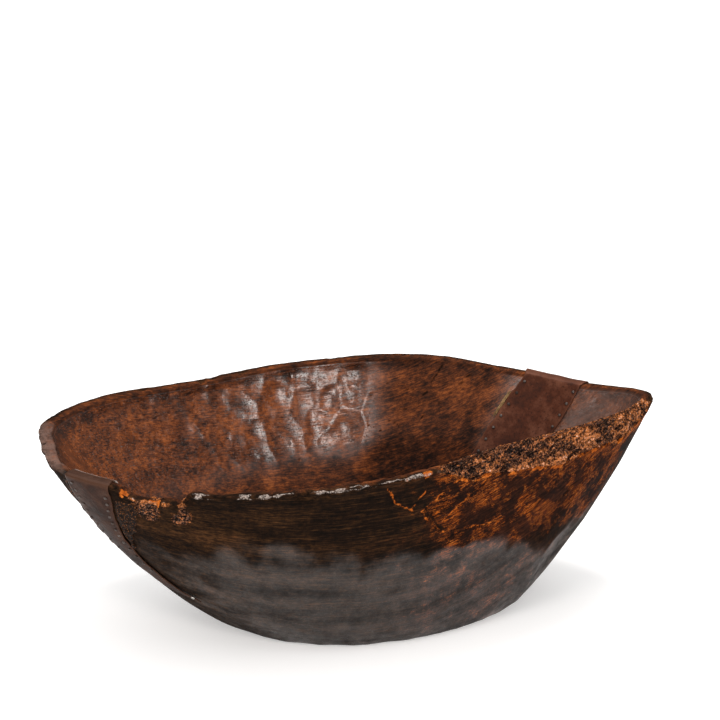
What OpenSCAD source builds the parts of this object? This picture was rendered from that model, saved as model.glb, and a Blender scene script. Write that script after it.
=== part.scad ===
// Dugout wooden bowl with an uneven, partly broken rim, mended with nailed
// sheet iron, pitch and bast. Millimetres, +Z up. The origin is on the table,
// under the middle of the bowl. +X runs along the bowl to its pointed end.
//
// A place on the bowl is a turn and a path. Turn runs from 0 at the pointed
// end, by way of the far side, to 1. Path runs up the outside from -1 at the
// foot to 0 at the rim, across the rim to 1, and down the inside to 2.

/* [Bowl] */
// Half length of the oval that the rim follows
half_len = 360; // [300:10:420]
// Half width of the oval that the rim follows
half_wid = 200; // [170:5:240]
// Height about which the rim rises and dips
rim_h = 215; // [190:5:250]
// Thickness of the wall at the rim
wall = 15; // [12:1:18]
// Thickness of the floor
floor_t = 24; // [18:1:30]
// Half length of the foot
foot_len = 144; // [120:2:160]
// Half width of the foot
foot_wid = 120; // [100:2:130]
// How far the rim is rounded up between its two edges
crown = 1.5; // [0.5:0.5:3]

/* [Broken rim] */
// Height lost from the outer edge where the rim is broken away
break_drop = 28; // [4:1:36]
// Depth of the bite in the rim beside the near patch
bite_drop = 13; // [2:1:18]

/* [Patches] */
// Thickness of the sheet iron
sheet_t = 1; // [0.6:0.1:1.5]
// Gap between the wood and the sheet iron
seat = 0.6; // [0.4:0.1:0.8]
// Thickest part of the pitch
pitch_t = 3; // [1.5:0.5:4]

/* [Tacks] */
// Diameter of a tack's head
tack_head = 3.6; // [3:0.2:5]
// Diameter of a tack's shank
tack_shank = 1.6; // [1.2:0.1:2]
// Length of a tack below its head
tack_len = 10; // [8:1:12]

/* [Hidden] */

// Reach of the rim in percent of the oval, at equal turns
REACH = [97, 91, 92, 95.5, 97, 94.5, 95, 93.5, 90.5, 96, 98, 98.5, 94.5, 88.5, 90, 94];
// Rise of the rim above rim_h, at equal turns
RISE = [-2, -11, -6, 4, 3, -3, 1, 2, 2, 0, -5, -6, -1, 10, 11, 6];
// Reach of the foot in percent of its oval, at equal turns
FOOT = [102, 100, 100, 100, 95, 107, 98, 103];
// Power of the wall's flare at the pointed end, far side, blunt end and near side
FLARE = [0.63, 0.66, 0.62, 0.63];
// Middle of the foot, measured from the middle of the rim's oval
foot_mid = [31, 9];
// Share of the foot's reach that the hollow's floor has
floor_share = 0.62;

// Turns where the broken stretch starts and ends, and where the bite does
break_turns = [0.775, 0.962];
bite_turns = [0.608, 0.654];
// Turns over which a break fades out
break_fade = 0.016;
bite_fade = 0.012;

// Turns round the bowl, and levels up its outside and down its inside
steps = 144;
OUT_LEVELS = [0, 0.02, 0.05, 0.09, 0.14, 0.2, 0.28, 0.37, 0.47, 0.58, 0.7, 0.82, 0.92, 1];
IN_LEVELS = [1, 0.92, 0.82, 0.7, 0.57, 0.44, 0.32, 0.22, 0.14, 0.08, 0.03, 0];
// Step for slopes, in turns and in levels
nudge = 0.002;
// Clearance under a tack's head
head_gap = 0.05;
// Empty hole inside the pointed end
old_hole_d = 3.4;
old_hole_depth = 8;
up = [0, 0, 1];

// Edges of the near patch: path and turn, on the side of the blunt end
BACK_EDGE = [
    [-0.69, 0.604], [-0.64, 0.58], [-0.54, 0.562], [-0.44, 0.554], [-0.34, 0.551],
    [-0.2, 0.559], [-0.1, 0.566], [0, 0.57]
];
// Edges of the near patch: path and turn, on the near side
FRONT_EDGE = [
    [-0.69, 0.606], [-0.64, 0.594], [-0.54, 0.586], [-0.44, 0.583], [-0.34, 0.584],
    [-0.2, 0.592], [-0.1, 0.6], [0, 0.606]
];
// Width of the front pitch in turns, along its path
FRONT_PITCH = [[-0.4, 0.002], [-0.3, 0.01], [-0.2, 0.017], [-0.1, 0.016], [-0.08, 0.012]];
// Edge of the far patch away from the pointed end: path and turn
LEFT_EDGE = [[1, 0.113], [1.12, 0.117], [1.24, 0.121], [1.5, 0.128]];
// Edge of the far patch towards the pointed end: turn
right_edge = 0.0605;

// ---- Curves ----

function wrap(v, i) = v[(i % len(v) + len(v)) % len(v)];

// Smooth closed curve through equally spaced stations
function through(v, turn) =
    let (
        s = (turn - floor(turn)) * len(v),
        i = floor(s),
        f = s - i,
        a = wrap(v, i - 1),
        b = wrap(v, i),
        c = wrap(v, i + 1),
        d = wrap(v, i + 2)
    )
    (2 * b + (c - a) * f + (2 * a - 5 * b + 4 * c - d) * f * f
        + (3 * b - a - 3 * c + d) * f * f * f) / 2;

function ease(x) = let (c = min(max(x, 0), 1)) c * c * (3 - 2 * c);
function between(x, ends, fade) = ease((x - ends[0]) / fade) * ease((ends[1] - x) / fade);
function mix(a, b, f) = a + (b - a) * f;
function unit(v) = v / norm(v);

// ---- The bowl's surfaces ----

function oval(turn, half_x, half_y, percent) =
    [half_x * cos(360 * turn), half_y * sin(360 * turn)] * percent / 100;
function raw_rim(turn) = oval(turn, half_len, half_wid, through(REACH, turn));

RAW = [for (i = [0 : steps - 1]) raw_rim(i / steps)];
RAW_X = [for (p = RAW) p[0]];
RAW_Y = [for (p = RAW) p[1]];
mid = [min(RAW_X) + max(RAW_X), min(RAW_Y) + max(RAW_Y)] / 2;

function rim_plan(turn) = raw_rim(turn) - mid;
function foot_plan(turn) =
    foot_mid - mid + oval(turn, foot_len, foot_wid, through(FOOT, turn));
function floor_plan(turn) =
    foot_mid - mid + oval(turn, foot_len, foot_wid, through(FOOT, turn)) * floor_share;
function rim_out(turn) = unit([half_wid * cos(360 * turn), half_len * sin(360 * turn)]);

function full_h(turn) = rim_h + through(RISE, turn);
function bite(turn) = bite_drop * between(turn, bite_turns, bite_fade);
function broken(turn) = break_drop * between(turn, break_turns, break_fade);

function outer_pt(turn, level) =
    let (p = mix(foot_plan(turn), rim_plan(turn), pow(level, through(FLARE, turn))))
    [p[0], p[1], full_h(turn) * level];
function inner_pt(turn, level) =
    let (
        edge = rim_plan(turn) - wall * rim_out(turn),
        p = mix(floor_plan(turn), edge, pow(level, through(FLARE, turn)))
    )
    [p[0], p[1], mix(floor_t, full_h(turn), level)];

// Unit normals, out of the bowl and into its hollow
function outer_n(turn, level) =
    unit(cross(
        outer_pt(turn + nudge, level) - outer_pt(turn - nudge, level),
        outer_pt(turn, level + nudge) - outer_pt(turn, level - nudge)
    ));
function inner_n(turn, level) =
    -unit(cross(
        inner_pt(turn + nudge, level) - inner_pt(turn - nudge, level),
        inner_pt(turn, level + nudge) - inner_pt(turn, level - nudge)
    ));

// ---- Places on the bowl ----

function mitre(a, b) = (a + b) / (1 + a * b);

// Direction away from the wood
function away(turn, path) =
    path < 0 ? outer_n(turn, 1 + path)
    : path == 0 ? mitre(outer_n(turn, 1), up)
    : path < 1 ? up
    : path == 1 ? mitre(inner_n(turn, 1), up)
    : inner_n(turn, 2 - path);

function seat_pt(turn, path) =
    path <= 0 ? outer_pt(turn, 1 + path)
    : path >= 1 ? inner_pt(turn, 2 - path)
    : mix(outer_pt(turn, 1), inner_pt(turn, 1), path) + 4 * crown * path * (1 - path) * up;

function place(turn, path, off) = seat_pt(turn, path) + off * away(turn, path);

// ---- Building blocks ----

// Solid between two grids of the same size, the first one on the outside
module slab(top, bottom) {
    rows = len(top);
    cols = len(top[0]);
    under = rows * cols;
    function at(r, c) = r * cols + c;
    function quad(a, b, c, d) = [[a, b, c], [a, c, d]];
    faces = [
        for (r = [0 : rows - 2], c = [0 : cols - 2])
            each concat(
                quad(at(r, c), at(r, c + 1), at(r + 1, c + 1), at(r + 1, c)),
                quad(
                    under + at(r, c), under + at(r + 1, c),
                    under + at(r + 1, c + 1), under + at(r, c + 1)
                )
            ),
        for (r = [0 : rows - 2])
            each concat(
                quad(at(r, 0), at(r + 1, 0), under + at(r + 1, 0), under + at(r, 0)),
                quad(
                    at(r + 1, cols - 1), at(r, cols - 1),
                    under + at(r, cols - 1), under + at(r + 1, cols - 1)
                )
            ),
        for (c = [0 : cols - 2])
            each concat(
                quad(at(0, c + 1), at(0, c), under + at(0, c), under + at(0, c + 1)),
                quad(
                    at(rows - 1, c), at(rows - 1, c + 1),
                    under + at(rows - 1, c + 1), under + at(rows - 1, c)
                )
            )
    ];
    points = concat([for (row = top) each row], [for (row = bottom) each row]);
    polyhedron(points = points, faces = faces);
}

// Sheet of even thickness that follows the bowl between two edges
module fitted_sheet(paths, from, to, cols) {
    function turn_at(path, c) = mix(lookup(path, from), lookup(path, to), c / cols);
    function layer(off) = [for (p = paths) [for (c = [0 : cols]) place(turn_at(p, c), p, off)]];
    slab(layer(seat + sheet_t), layer(seat));
}

// Ridge that follows the bowl between two edges and is thickest in its middle
module ridge(paths, from, to, cols, high) {
    thin = 0.3;
    last = len(paths) - 1;
    function turn_at(path, c) = mix(lookup(path, from), lookup(path, to), c / cols);
    function swell(r, c) = sin(180 * c / cols) * sin(20 + 140 * r / last);
    slab(
        [for (r = [0 : last]) [
            for (c = [0 : cols])
                place(turn_at(paths[r], c), paths[r], seat + thin + high * swell(r, c))
        ]],
        [for (r = [0 : last]) [for (c = [0 : cols]) place(turn_at(paths[r], c), paths[r], seat)]]
    );
}

// Points +Z along the direction away from the wood at a place
module on_bowl(turn, path, off) {
    n = unit(away(turn, path));
    translate(seat_pt(turn, path) + off * n)
        rotate([0, acos(n[2]), atan2(n[1], n[0])])
            children();
}

// Domed head above the sheet, and a pointed shank driven into the wood
module tack(head = tack_head) {
    point = 3;
    dome = head * 0.32;
    ball = (head * head / 4 + dome * dome) / (2 * dome);
    intersection() {
        translate([0, 0, dome - ball])
            sphere(r = ball, $fn = 32);
        cylinder(d = head, h = dome, $fn = 32);
    }
    translate([0, 0, -tack_len + point])
        cylinder(d = tack_shank, h = tack_len - point + 0.1, $fn = 24);
    translate([0, 0, -tack_len])
        cylinder(d1 = 0.3, d2 = tack_shank, h = point, $fn = 24);
}

// Tacks at a list of places, each a turn and a path
module tacks(places, head = tack_head) {
    for (p = places)
        on_bowl(p[0], p[1], seat + sheet_t + head_gap)
            tack(head);
}

// Holes through a sheet for tacks at a list of places
module tack_holes(places) {
    for (p = places)
        on_bowl(p[0], p[1], seat - 1)
            cylinder(d = tack_shank + 0.2, h = sheet_t + 2, $fn = 24);
}

// Holes in the wood for tacks at a list of places, a hair wider than the shanks
module pilot_holes(places) {
    for (p = places)
        on_bowl(p[0], p[1], seat + sheet_t + head_gap - tack_len - 0.2)
            cylinder(d = tack_shank + 0.1, h = tack_len, $fn = 24);
}

// ---- Where the tacks go ----

BACK_TACKS = [for (i = [0 : 11]) let (p = -0.03 - 0.045 * i) [lookup(p, BACK_EDGE) + 0.005, p]];
FRONT_TACKS = [for (i = [0 : 11]) let (p = -0.07 - 0.042 * i) [lookup(p, FRONT_EDGE) - 0.004, p]];
FLAP_TACKS = [for (i = [0 : 2]) [0.581 + 0.007 * i, 1.06]];
TIP_NAIL = [[0.602, -0.667]];
LEFT_TACKS = [for (i = [0 : 6]) let (p = 1.04 + 0.07 * i) [lookup(p, LEFT_EDGE) - 0.004, p]];
RIGHT_TACKS = [for (i = [0 : 6]) [right_edge + 0.004, 1.04 + 0.07 * i]];
OUTER_TACKS = [for (i = [0 : 4]) [0.07 + 0.009 * i, -0.1]];
// Empty hole left by an older repair
OLD_HOLE = [0.04, 1.09];

// ---- Sub-parts ----

// The hollowed trunk, with the rim's break and bite, and its tack holes
module bowl_body() {
    function out_ring(level) = [
        for (i = [0 : steps - 1])
            let (turn = i / steps, top = 1 - (bite(turn) + broken(turn)) / full_h(turn))
                outer_pt(turn, level * top)
    ];
    function in_ring(level) = [
        for (i = [0 : steps - 1])
            let (turn = i / steps, top = 1 - bite(turn) / (full_h(turn) - floor_t))
                inner_pt(turn, level * top)
    ];
    edge_out = out_ring(1);
    edge_in = in_ring(1);
    ridge_ring = [for (i = [0 : steps - 1]) (edge_out[i] + edge_in[i]) / 2 + crown * up];
    rings = concat(
        [for (l = OUT_LEVELS) out_ring(l)],
        [ridge_ring],
        [for (l = IN_LEVELS) in_ring(l)]
    );
    last = len(rings) - 1;
    function at(r, i) = r * steps + i % steps;
    faces = concat(
        [[for (i = [0 : steps - 1]) at(0, i)]],
        [
            for (r = [0 : last - 1], i = [0 : steps - 1])
                each [
                    [at(r, i), at(r + 1, i), at(r + 1, i + 1)],
                    [at(r, i), at(r + 1, i + 1), at(r, i + 1)]
                ]
        ],
        [[for (i = [steps - 1 : -1 : 0]) at(last, i)]]
    );
    color([0.29, 0.13, 0.07])
        difference() {
            polyhedron(points = [for (ring = rings) each ring], faces = faces);
            pilot_holes(concat(BACK_TACKS, FRONT_TACKS, FLAP_TACKS, TIP_NAIL));
            pilot_holes(concat(LEFT_TACKS, RIGHT_TACKS, OUTER_TACKS));
            on_bowl(OLD_HOLE[0], OLD_HOLE[1], -old_hole_depth)
                cylinder(d = old_hole_d, h = old_hole_depth + 2, $fn = 24);
        }
}

// Long tapering sheet, folded over the near rim, that covers a split
module near_patch_sheet() {
    paths = [
        for (i = [0 : 23]) -0.69 + 0.03 * i,
        0, 0.25, 0.5, 0.75, 1, 1.04, 1.1
    ];
    color([0.34, 0.27, 0.22])
        difference() {
            fitted_sheet(paths, BACK_EDGE, FRONT_EDGE, 8);
            tack_holes(concat(BACK_TACKS, FRONT_TACKS, FLAP_TACKS, TIP_NAIL));
        }
}

module near_patch_back_tacks() {
    color([0.55, 0.5, 0.45])
        tacks(BACK_TACKS);
}

module near_patch_front_tacks() {
    color([0.55, 0.5, 0.45])
        tacks(FRONT_TACKS);
}

module near_patch_flap_tacks() {
    color([0.55, 0.5, 0.45])
        tacks(FLAP_TACKS);
}

module near_patch_tip_nail() {
    color([0.75, 0.72, 0.68])
        tacks(TIP_NAIL, 4);
}

// Pitch along the edge of the near patch towards the blunt end
module pitch_back_bead() {
    width = 0.008;
    paths = [for (i = [0 : 15]) -0.5 + 0.031 * i];
    from = [for (e = BACK_EDGE) [e[0], e[1] - 0.0005 - width]];
    to = [for (e = BACK_EDGE) [e[0], e[1] - 0.0005]];
    color([0.1, 0.08, 0.07])
        ridge(paths, from, to, 6, pitch_t * 0.6);
}

// Pitch smeared beside the other edge, below the bite
module pitch_front_bead() {
    paths = [for (i = [0 : 10]) -0.4 + 0.032 * i];
    from = [for (p = paths) [p, lookup(p, FRONT_EDGE) + 0.0005]];
    to = [for (p = paths) [p, lookup(p, FRONT_EDGE) + 0.0005 + lookup(p, FRONT_PITCH)]];
    color([0.1, 0.08, 0.07])
        ridge(paths, from, to, 8, pitch_t);
}

// Sheet down the inside of the far wall, folded out over the rim
module far_patch_sheet() {
    paths = [
        -0.15, -0.1, -0.05, 0, 0.25, 0.5, 0.75, 1,
        for (i = [1 : 10]) 1 + 0.05 * i
    ];
    color([0.4, 0.22, 0.15])
        difference() {
            fitted_sheet(paths, [[0, right_edge], [2, right_edge]], LEFT_EDGE, 10);
            tack_holes(concat(LEFT_TACKS, RIGHT_TACKS, OUTER_TACKS));
        }
}

module far_patch_left_tacks() {
    color([0.5, 0.45, 0.4])
        tacks(LEFT_TACKS);
}

module far_patch_right_tacks() {
    color([0.5, 0.45, 0.4])
        tacks(RIGHT_TACKS);
}

module far_patch_outer_tacks() {
    color([0.5, 0.45, 0.4])
        tacks(OUTER_TACKS);
}

// Sliver of bast packed beside the far patch
module bast_caulking() {
    width = 0.004;
    paths = [for (i = [0 : 6]) 1.1 + 0.027 * i];
    from = [for (e = LEFT_EDGE) [e[0], e[1] + 0.0005]];
    to = [for (e = LEFT_EDGE) [e[0], e[1] + 0.0005 + width]];
    color([0.6, 0.45, 0.25])
        ridge(paths, from, to, 4, 1.4);
}

bowl_body();
near_patch_sheet();
near_patch_back_tacks();
near_patch_front_tacks();
near_patch_flap_tacks();
near_patch_tip_nail();
pitch_back_bead();
pitch_front_bead();
far_patch_sheet();
far_patch_left_tacks();
far_patch_right_tacks();
far_patch_outer_tacks();
bast_caulking();
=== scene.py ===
"""Dugout wooden bowl with an uneven, partly broken rim, mended with nailed sheet iron, pitch and bast.

Lengths are metres in the CAD frame. A place on the bowl is a turn and a path. Turn runs from 0 at
the pointed end, by way of the far side, to 1. Path runs up the outside from -1 at the foot to 0 at
the rim, across the rim to 1, and down the inside to 2.
"""

import itertools
import logging
import math
from collections.abc import Callable, Iterable
from dataclasses import dataclass, field
from enum import Enum
from functools import cached_property
from typing import Any, Protocol

import bmesh
import bpy
import numpy as np
from mathutils import Matrix, Vector


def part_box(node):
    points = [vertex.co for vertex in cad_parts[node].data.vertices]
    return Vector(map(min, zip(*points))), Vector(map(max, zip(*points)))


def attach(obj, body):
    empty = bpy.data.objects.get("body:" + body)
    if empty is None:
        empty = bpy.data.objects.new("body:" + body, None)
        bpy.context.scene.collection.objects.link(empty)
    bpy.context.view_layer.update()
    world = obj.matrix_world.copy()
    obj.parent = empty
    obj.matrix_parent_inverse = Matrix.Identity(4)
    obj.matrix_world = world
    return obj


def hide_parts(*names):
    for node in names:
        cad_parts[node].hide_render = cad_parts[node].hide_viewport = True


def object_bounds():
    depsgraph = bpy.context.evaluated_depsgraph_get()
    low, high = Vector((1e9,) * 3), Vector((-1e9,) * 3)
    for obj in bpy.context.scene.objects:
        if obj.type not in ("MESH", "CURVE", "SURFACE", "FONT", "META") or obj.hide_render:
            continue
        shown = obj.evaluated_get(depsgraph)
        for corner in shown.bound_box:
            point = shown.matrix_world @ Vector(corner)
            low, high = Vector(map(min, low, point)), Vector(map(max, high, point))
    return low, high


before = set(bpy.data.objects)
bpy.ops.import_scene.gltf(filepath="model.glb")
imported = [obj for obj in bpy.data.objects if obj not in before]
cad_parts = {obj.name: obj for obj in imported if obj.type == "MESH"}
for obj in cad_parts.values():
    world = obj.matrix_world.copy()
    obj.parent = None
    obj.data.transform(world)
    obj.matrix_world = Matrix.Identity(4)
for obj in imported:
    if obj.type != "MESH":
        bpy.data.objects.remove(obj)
CAD_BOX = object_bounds()

LOG = logging.getLogger("bowl")

Places = tuple[tuple[float, float], ...]
Triple = tuple[float, float, float]
Colour = Triple

UP = np.array([0.0, 0.0, 1.0])
GRAIN_SWEEP = 1.15  # how much the grain bends up towards the pointed end


# ---- Curves and noise ----


def ease(x: np.ndarray) -> np.ndarray:
    """Smooth step from 0 to 1."""
    c = np.clip(x, 0.0, 1.0)
    return c * c * (3.0 - 2.0 * c)


def between(x: np.ndarray, low: float, high: float, fade: float) -> np.ndarray:
    """1 between two values, eased to 0 over a fade inside them."""
    return ease((x - low) / fade) * ease((high - x) / fade)


def through(stations: tuple[float, ...], turn: np.ndarray) -> np.ndarray:
    """Smooth closed curve through equally spaced stations.

    Args:
        stations: Values at equal turns.
        turn: Turns at which the curve is wanted.

    Returns:
        The curve's values.
    """
    v = np.asarray(stations, float)
    s = np.mod(turn, 1.0) * len(v)
    i = np.floor(s).astype(int)
    f = s - i
    a, b, c, d = (v[(i + k) % len(v)] for k in (-1, 0, 1, 2))
    return 0.5 * (
        2 * b + (c - a) * f + (2 * a - 5 * b + 4 * c - d) * f**2 + (3 * b - a - 3 * c + d) * f**3
    )


def lookup(points: Places, x: np.ndarray) -> np.ndarray:
    """Value at x on a broken line through points."""
    xs, ys = zip(*sorted(points))
    return np.interp(x, xs, ys)


class Noise:
    """Smooth seeded noise on a repeating lattice of random numbers."""

    SIDE = 32
    OCTAVE_SHIFT = 7.3
    JITTER = 0.47
    DEPTHS_VARY = 0.45
    CUT_SPREAD = 0.62

    def __init__(self, seed: int) -> None:
        """Draws the lattice."""
        self.lattice = np.random.default_rng(seed).uniform(-1.0, 1.0, (self.SIDE,) * 3)

    def at(self, points: np.ndarray, scale: float | Triple, octaves: int = 1) -> np.ndarray:
        """Noise at points.

        Args:
            points: Points, one a row.
            scale: Size of the noise's lumps, in metres, in all directions or in each.
            octaves: How many times finer and weaker noise is added.

        Returns:
            Values between about -1 and 1.
        """
        total = np.zeros(len(points))
        for octave in range(octaves):
            p = points / np.asarray(scale, float) * 2.0**octave + self.OCTAVE_SHIFT * octave
            cell = np.floor(p).astype(int)
            f = ease(p - cell)
            for corner in itertools.product((0, 1), repeat=3):
                weight = np.prod(np.where(corner, f, 1.0 - f), axis=-1)
                i = (cell + corner) % self.SIDE
                total += 0.5**octave * weight * self.lattice[i[:, 0], i[:, 1], i[:, 2]]
        return total

    def cuts(self, across: np.ndarray, along: np.ndarray) -> np.ndarray:
        """Overlapping spoon-shaped cuts, one to a unit cell, with crisp ridges between them.

        Args:
            across: Place across the cuts, in widths of a cut.
            along: Place along the cuts, in lengths of a cut.

        Returns:
            Depth of the deepest cut at each place, about 0 to 1.3.
        """
        i, j = np.floor(across).astype(int), np.floor(along).astype(int)
        deepest = np.full(len(across), -1.0)
        for di, dj in itertools.product((-1, 0, 1), repeat=2):
            ci, cj = i + di, j + dj
            shift, slip, depth = (self.lattice[ci % self.SIDE, cj % self.SIDE, k] for k in (3, 11, 23))
            x = across - (ci + 0.5 + self.JITTER * shift)
            y = along - (cj + 0.5 + self.JITTER * slip + 0.5 * (ci % 2))
            bowl = (x * x + y * y) / self.CUT_SPREAD
            deepest = np.maximum(deepest, 1.0 + self.DEPTHS_VARY * depth - bowl)
        return deepest


def nearness(points: np.ndarray, line: np.ndarray, width: float) -> np.ndarray:
    """How near points are to a broken line.

    Args:
        points: Points, one a row.
        line: The line's points, one a row.
        width: Distance at which nearness is 0.

    Returns:
        1 on the line, falling to 0 at the width.
    """
    best = np.full(len(points), np.inf)
    for a, b in zip(line[:-1], line[1:]):
        share = np.clip((points - a) @ (b - a) / max(float((b - a) @ (b - a)), 1e-12), 0.0, 1.0)
        best = np.minimum(best, np.linalg.norm(points - a - share[:, None] * (b - a), axis=1))
    return np.clip(1.0 - best / width, 0.0, 1.0)


# ---- The bowl's form ----


@dataclass(frozen=True)
class BowlForm:
    """The bowl's surfaces, as its CAD source has them.

    Attributes:
        half_len: Half of the rim's length, before its reach.
        half_wid: Half of its width.
        rim_h: Height of the rim, before its rise.
        wall: Thickness of the wall at the rim.
        floor_t: Thickness of the floor.
        foot_len: Half of the foot's length.
        foot_wid: Half of its width.
        crown: How much the rim is rounded up.
        foot_mid: Middle of the foot, in plan.
        floor_share: Size of the floor over that of the foot.
        reach: How far the rim reaches, by turn.
        rise: How far it rises, by turn.
        foot: How far the foot reaches, by turn.
        flare: Power of the wall's flare, by turn.
        nudge: Step over which a slope is measured.
        rounding: Path over which the rim's edges are rounded.
        samples: Turns at which the rim's extent is measured.
    """

    half_len: float = 0.36
    half_wid: float = 0.2
    rim_h: float = 0.215
    wall: float = 0.015
    floor_t: float = 0.024
    foot_len: float = 0.144
    foot_wid: float = 0.12
    crown: float = 0.0015
    foot_mid: tuple[float, float] = (0.031, 0.009)
    floor_share: float = 0.62
    reach: tuple[float, ...] = (
        0.97, 0.91, 0.92, 0.955, 0.97, 0.945, 0.95, 0.935, 0.905, 0.96, 0.98, 0.985, 0.945, 0.885,
        0.9, 0.94,
    )
    rise: tuple[float, ...] = (
        -0.002, -0.011, -0.006, 0.004, 0.003, -0.003, 0.001, 0.002, 0.002, 0.0, -0.005, -0.006,
        -0.001, 0.01, 0.011, 0.006,
    )
    foot: tuple[float, ...] = (1.02, 1.0, 1.0, 1.0, 0.95, 1.07, 0.98, 1.03)
    flare: tuple[float, ...] = (0.63, 0.66, 0.62, 0.63)
    nudge: float = 0.002
    rounding: float = 0.015
    samples: int = 721

    @classmethod
    def fitted(cls, low: Vector, high: Vector) -> "BowlForm":
        """The form whose rim fills the CAD bowl's box.

        Args:
            low: Lowest corner of the box.
            high: Highest corner of the box.

        Returns:
            The form, scaled to the box.
        """
        plain = cls()
        turns = np.linspace(0.0, 1.0, plain.samples)
        rim = plain.raw_rim(turns)
        span = rim.max(0) - rim.min(0)
        return cls(
            half_len=plain.half_len * (high.x - low.x) / span[0],
            half_wid=plain.half_wid * (high.y - low.y) / span[1],
            rim_h=high.z - float(through(plain.rise, turns).max()),
        )

    def oval(self, turn: np.ndarray, half_x: float, half_y: float) -> np.ndarray:
        """Oval in plan."""
        angle = 2.0 * math.pi * turn
        return np.stack([half_x * np.cos(angle), half_y * np.sin(angle)], -1)

    def raw_rim(self, turn: np.ndarray) -> np.ndarray:
        """Rim in plan, before it is centred."""
        reach = through(self.reach, turn)[..., None]
        return self.oval(turn, self.half_len, self.half_wid) * reach

    @cached_property
    def mid(self) -> np.ndarray:
        """Middle of the rim's extent in plan."""
        rim = self.raw_rim(np.linspace(0.0, 1.0, self.samples))
        return (rim.min(0) + rim.max(0)) / 2.0

    def base_plan(self, turn: np.ndarray, share: float) -> np.ndarray:
        """Foot in plan, or a share of it about the foot's middle."""
        oval = self.oval(turn, self.foot_len, self.foot_wid) * through(self.foot, turn)[..., None]
        return np.asarray(self.foot_mid) - self.mid + oval * share

    def height(self, turn: np.ndarray) -> np.ndarray:
        """Height of the whole rim."""
        return self.rim_h + through(self.rise, turn)

    def outer(self, turn: np.ndarray, level: np.ndarray) -> np.ndarray:
        """Points on the outside, from level 0 at the foot to 1 at the rim."""
        flare = np.power(np.clip(level, 0.0, None), through(self.flare, turn))[..., None]
        foot = self.base_plan(turn, 1.0)
        plan = foot + (self.raw_rim(turn) - self.mid - foot) * flare
        return np.concatenate([plan, (self.height(turn) * level)[..., None]], -1)

    def inner(self, turn: np.ndarray, level: np.ndarray) -> np.ndarray:
        """Points on the inside, from level 0 at the floor to 1 at the rim."""
        out = self.oval(turn, self.half_wid, self.half_len)
        out /= np.linalg.norm(out, axis=-1)[..., None]
        flare = np.power(np.clip(level, 0.0, None), through(self.flare, turn))[..., None]
        floor = self.base_plan(turn, self.floor_share)
        plan = floor + (self.raw_rim(turn) - self.mid - self.wall * out - floor) * flare
        z = self.floor_t + (self.height(turn) - self.floor_t) * level
        return np.concatenate([plan, z[..., None]], -1)

    def _normal(
        self, side: Callable[[np.ndarray, np.ndarray], np.ndarray], turn: np.ndarray, level: np.ndarray
    ) -> np.ndarray:
        """Unit normal of a side, on the side that faces away from the bowl's axis."""
        level = np.clip(level, self.nudge, None)
        round_ = side(turn + self.nudge, level) - side(turn - self.nudge, level)
        rising = side(turn, level + self.nudge) - side(turn, level - self.nudge)
        normal = np.cross(round_, rising)
        return normal / np.linalg.norm(normal, axis=-1)[..., None]

    def place(self, turn: np.ndarray, path: np.ndarray, off: np.ndarray | float) -> np.ndarray:
        """Points at places on the whole bowl.

        Args:
            turn: Turns.
            path: Paths.
            off: Distance from the wood.

        Returns:
            Points, one a row.
        """
        turn, path = np.broadcast_arrays(np.asarray(turn, float), np.asarray(path, float))
        share = np.clip(path, 0.0, 1.0)[..., None]
        outside = self.outer(turn, np.clip(1.0 + path, 0.0, 1.0))
        inside = self.inner(turn, np.clip(2.0 - path, 0.0, 1.0))
        seat = outside + (inside - outside) * share + 4.0 * self.crown * share * (1.0 - share) * UP
        n_out = self._normal(self.outer, turn, np.clip(1.0 + path, 0.0, 1.0))
        n_in = -self._normal(self.inner, turn, np.clip(2.0 - path, 0.0, 1.0))
        round_out = ease(-path / self.rounding)[..., None]
        round_in = ease((path - 1.0) / self.rounding)[..., None]
        away = UP + (n_out - UP) * (0.5 + 0.5 * round_out) * (path <= 0.0)[..., None]
        away = away + (n_in - UP) * (0.5 + 0.5 * round_in) * (path >= 1.0)[..., None]
        away /= np.linalg.norm(away, axis=-1)[..., None]
        return seat + np.asarray(off)[..., None] * away

    def line(self, places: Places) -> np.ndarray:
        """Points along a line given by its places."""
        turn, path = np.asarray(places, float).T
        return self.place(turn, path, 0.0)

    def facing(self, turn: float, path: float) -> Vector:
        """Direction away from the wood at a place."""
        low, high = (self.place(np.array(turn), np.array(path), off) for off in (0.0, 0.01))
        return Vector((high - low).tolist()).normalized()


# ---- Where things are ----

# The edges of the mends are pairs of path and turn, FRONT_PITCH of path and width. All other places
# are pairs of turn and path.

BACK_EDGE: Places = (
    (-0.69, 0.604), (-0.64, 0.58), (-0.54, 0.562), (-0.44, 0.554), (-0.34, 0.551), (-0.2, 0.559),
    (-0.1, 0.566), (0.0, 0.57),
)
FRONT_EDGE: Places = (
    (-0.69, 0.606), (-0.64, 0.594), (-0.54, 0.586), (-0.44, 0.583), (-0.34, 0.584), (-0.2, 0.592),
    (-0.1, 0.6), (0.0, 0.606),
)
LEFT_EDGE: Places = ((1.0, 0.113), (1.12, 0.117), (1.24, 0.121), (1.5, 0.128))
RIGHT_EDGE: Places = ((0.0, 0.0605), (2.0, 0.0605))
FRONT_PITCH: Places = ((-0.4, 0.002), (-0.3, 0.01), (-0.2, 0.017), (-0.1, 0.016), (-0.08, 0.012))
RIDGE: Places = ((0.895, -0.28), (0.89, -0.375), (0.868, -0.63), (0.885, -0.8), (0.904, -0.94))


class Mark(Enum):
    """What a line on the wood is."""

    VEIN = "vein"
    CRACK = "crack"
    CUT = "cut"


@dataclass(frozen=True)
class Stroke:
    """A line on the wood.

    Attributes:
        mark: What it is.
        width: Distance from its middle to its edge.
        depth: How deep it is cut.
        places: Its places.
    """

    mark: Mark
    width: float
    depth: float
    places: Places


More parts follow.
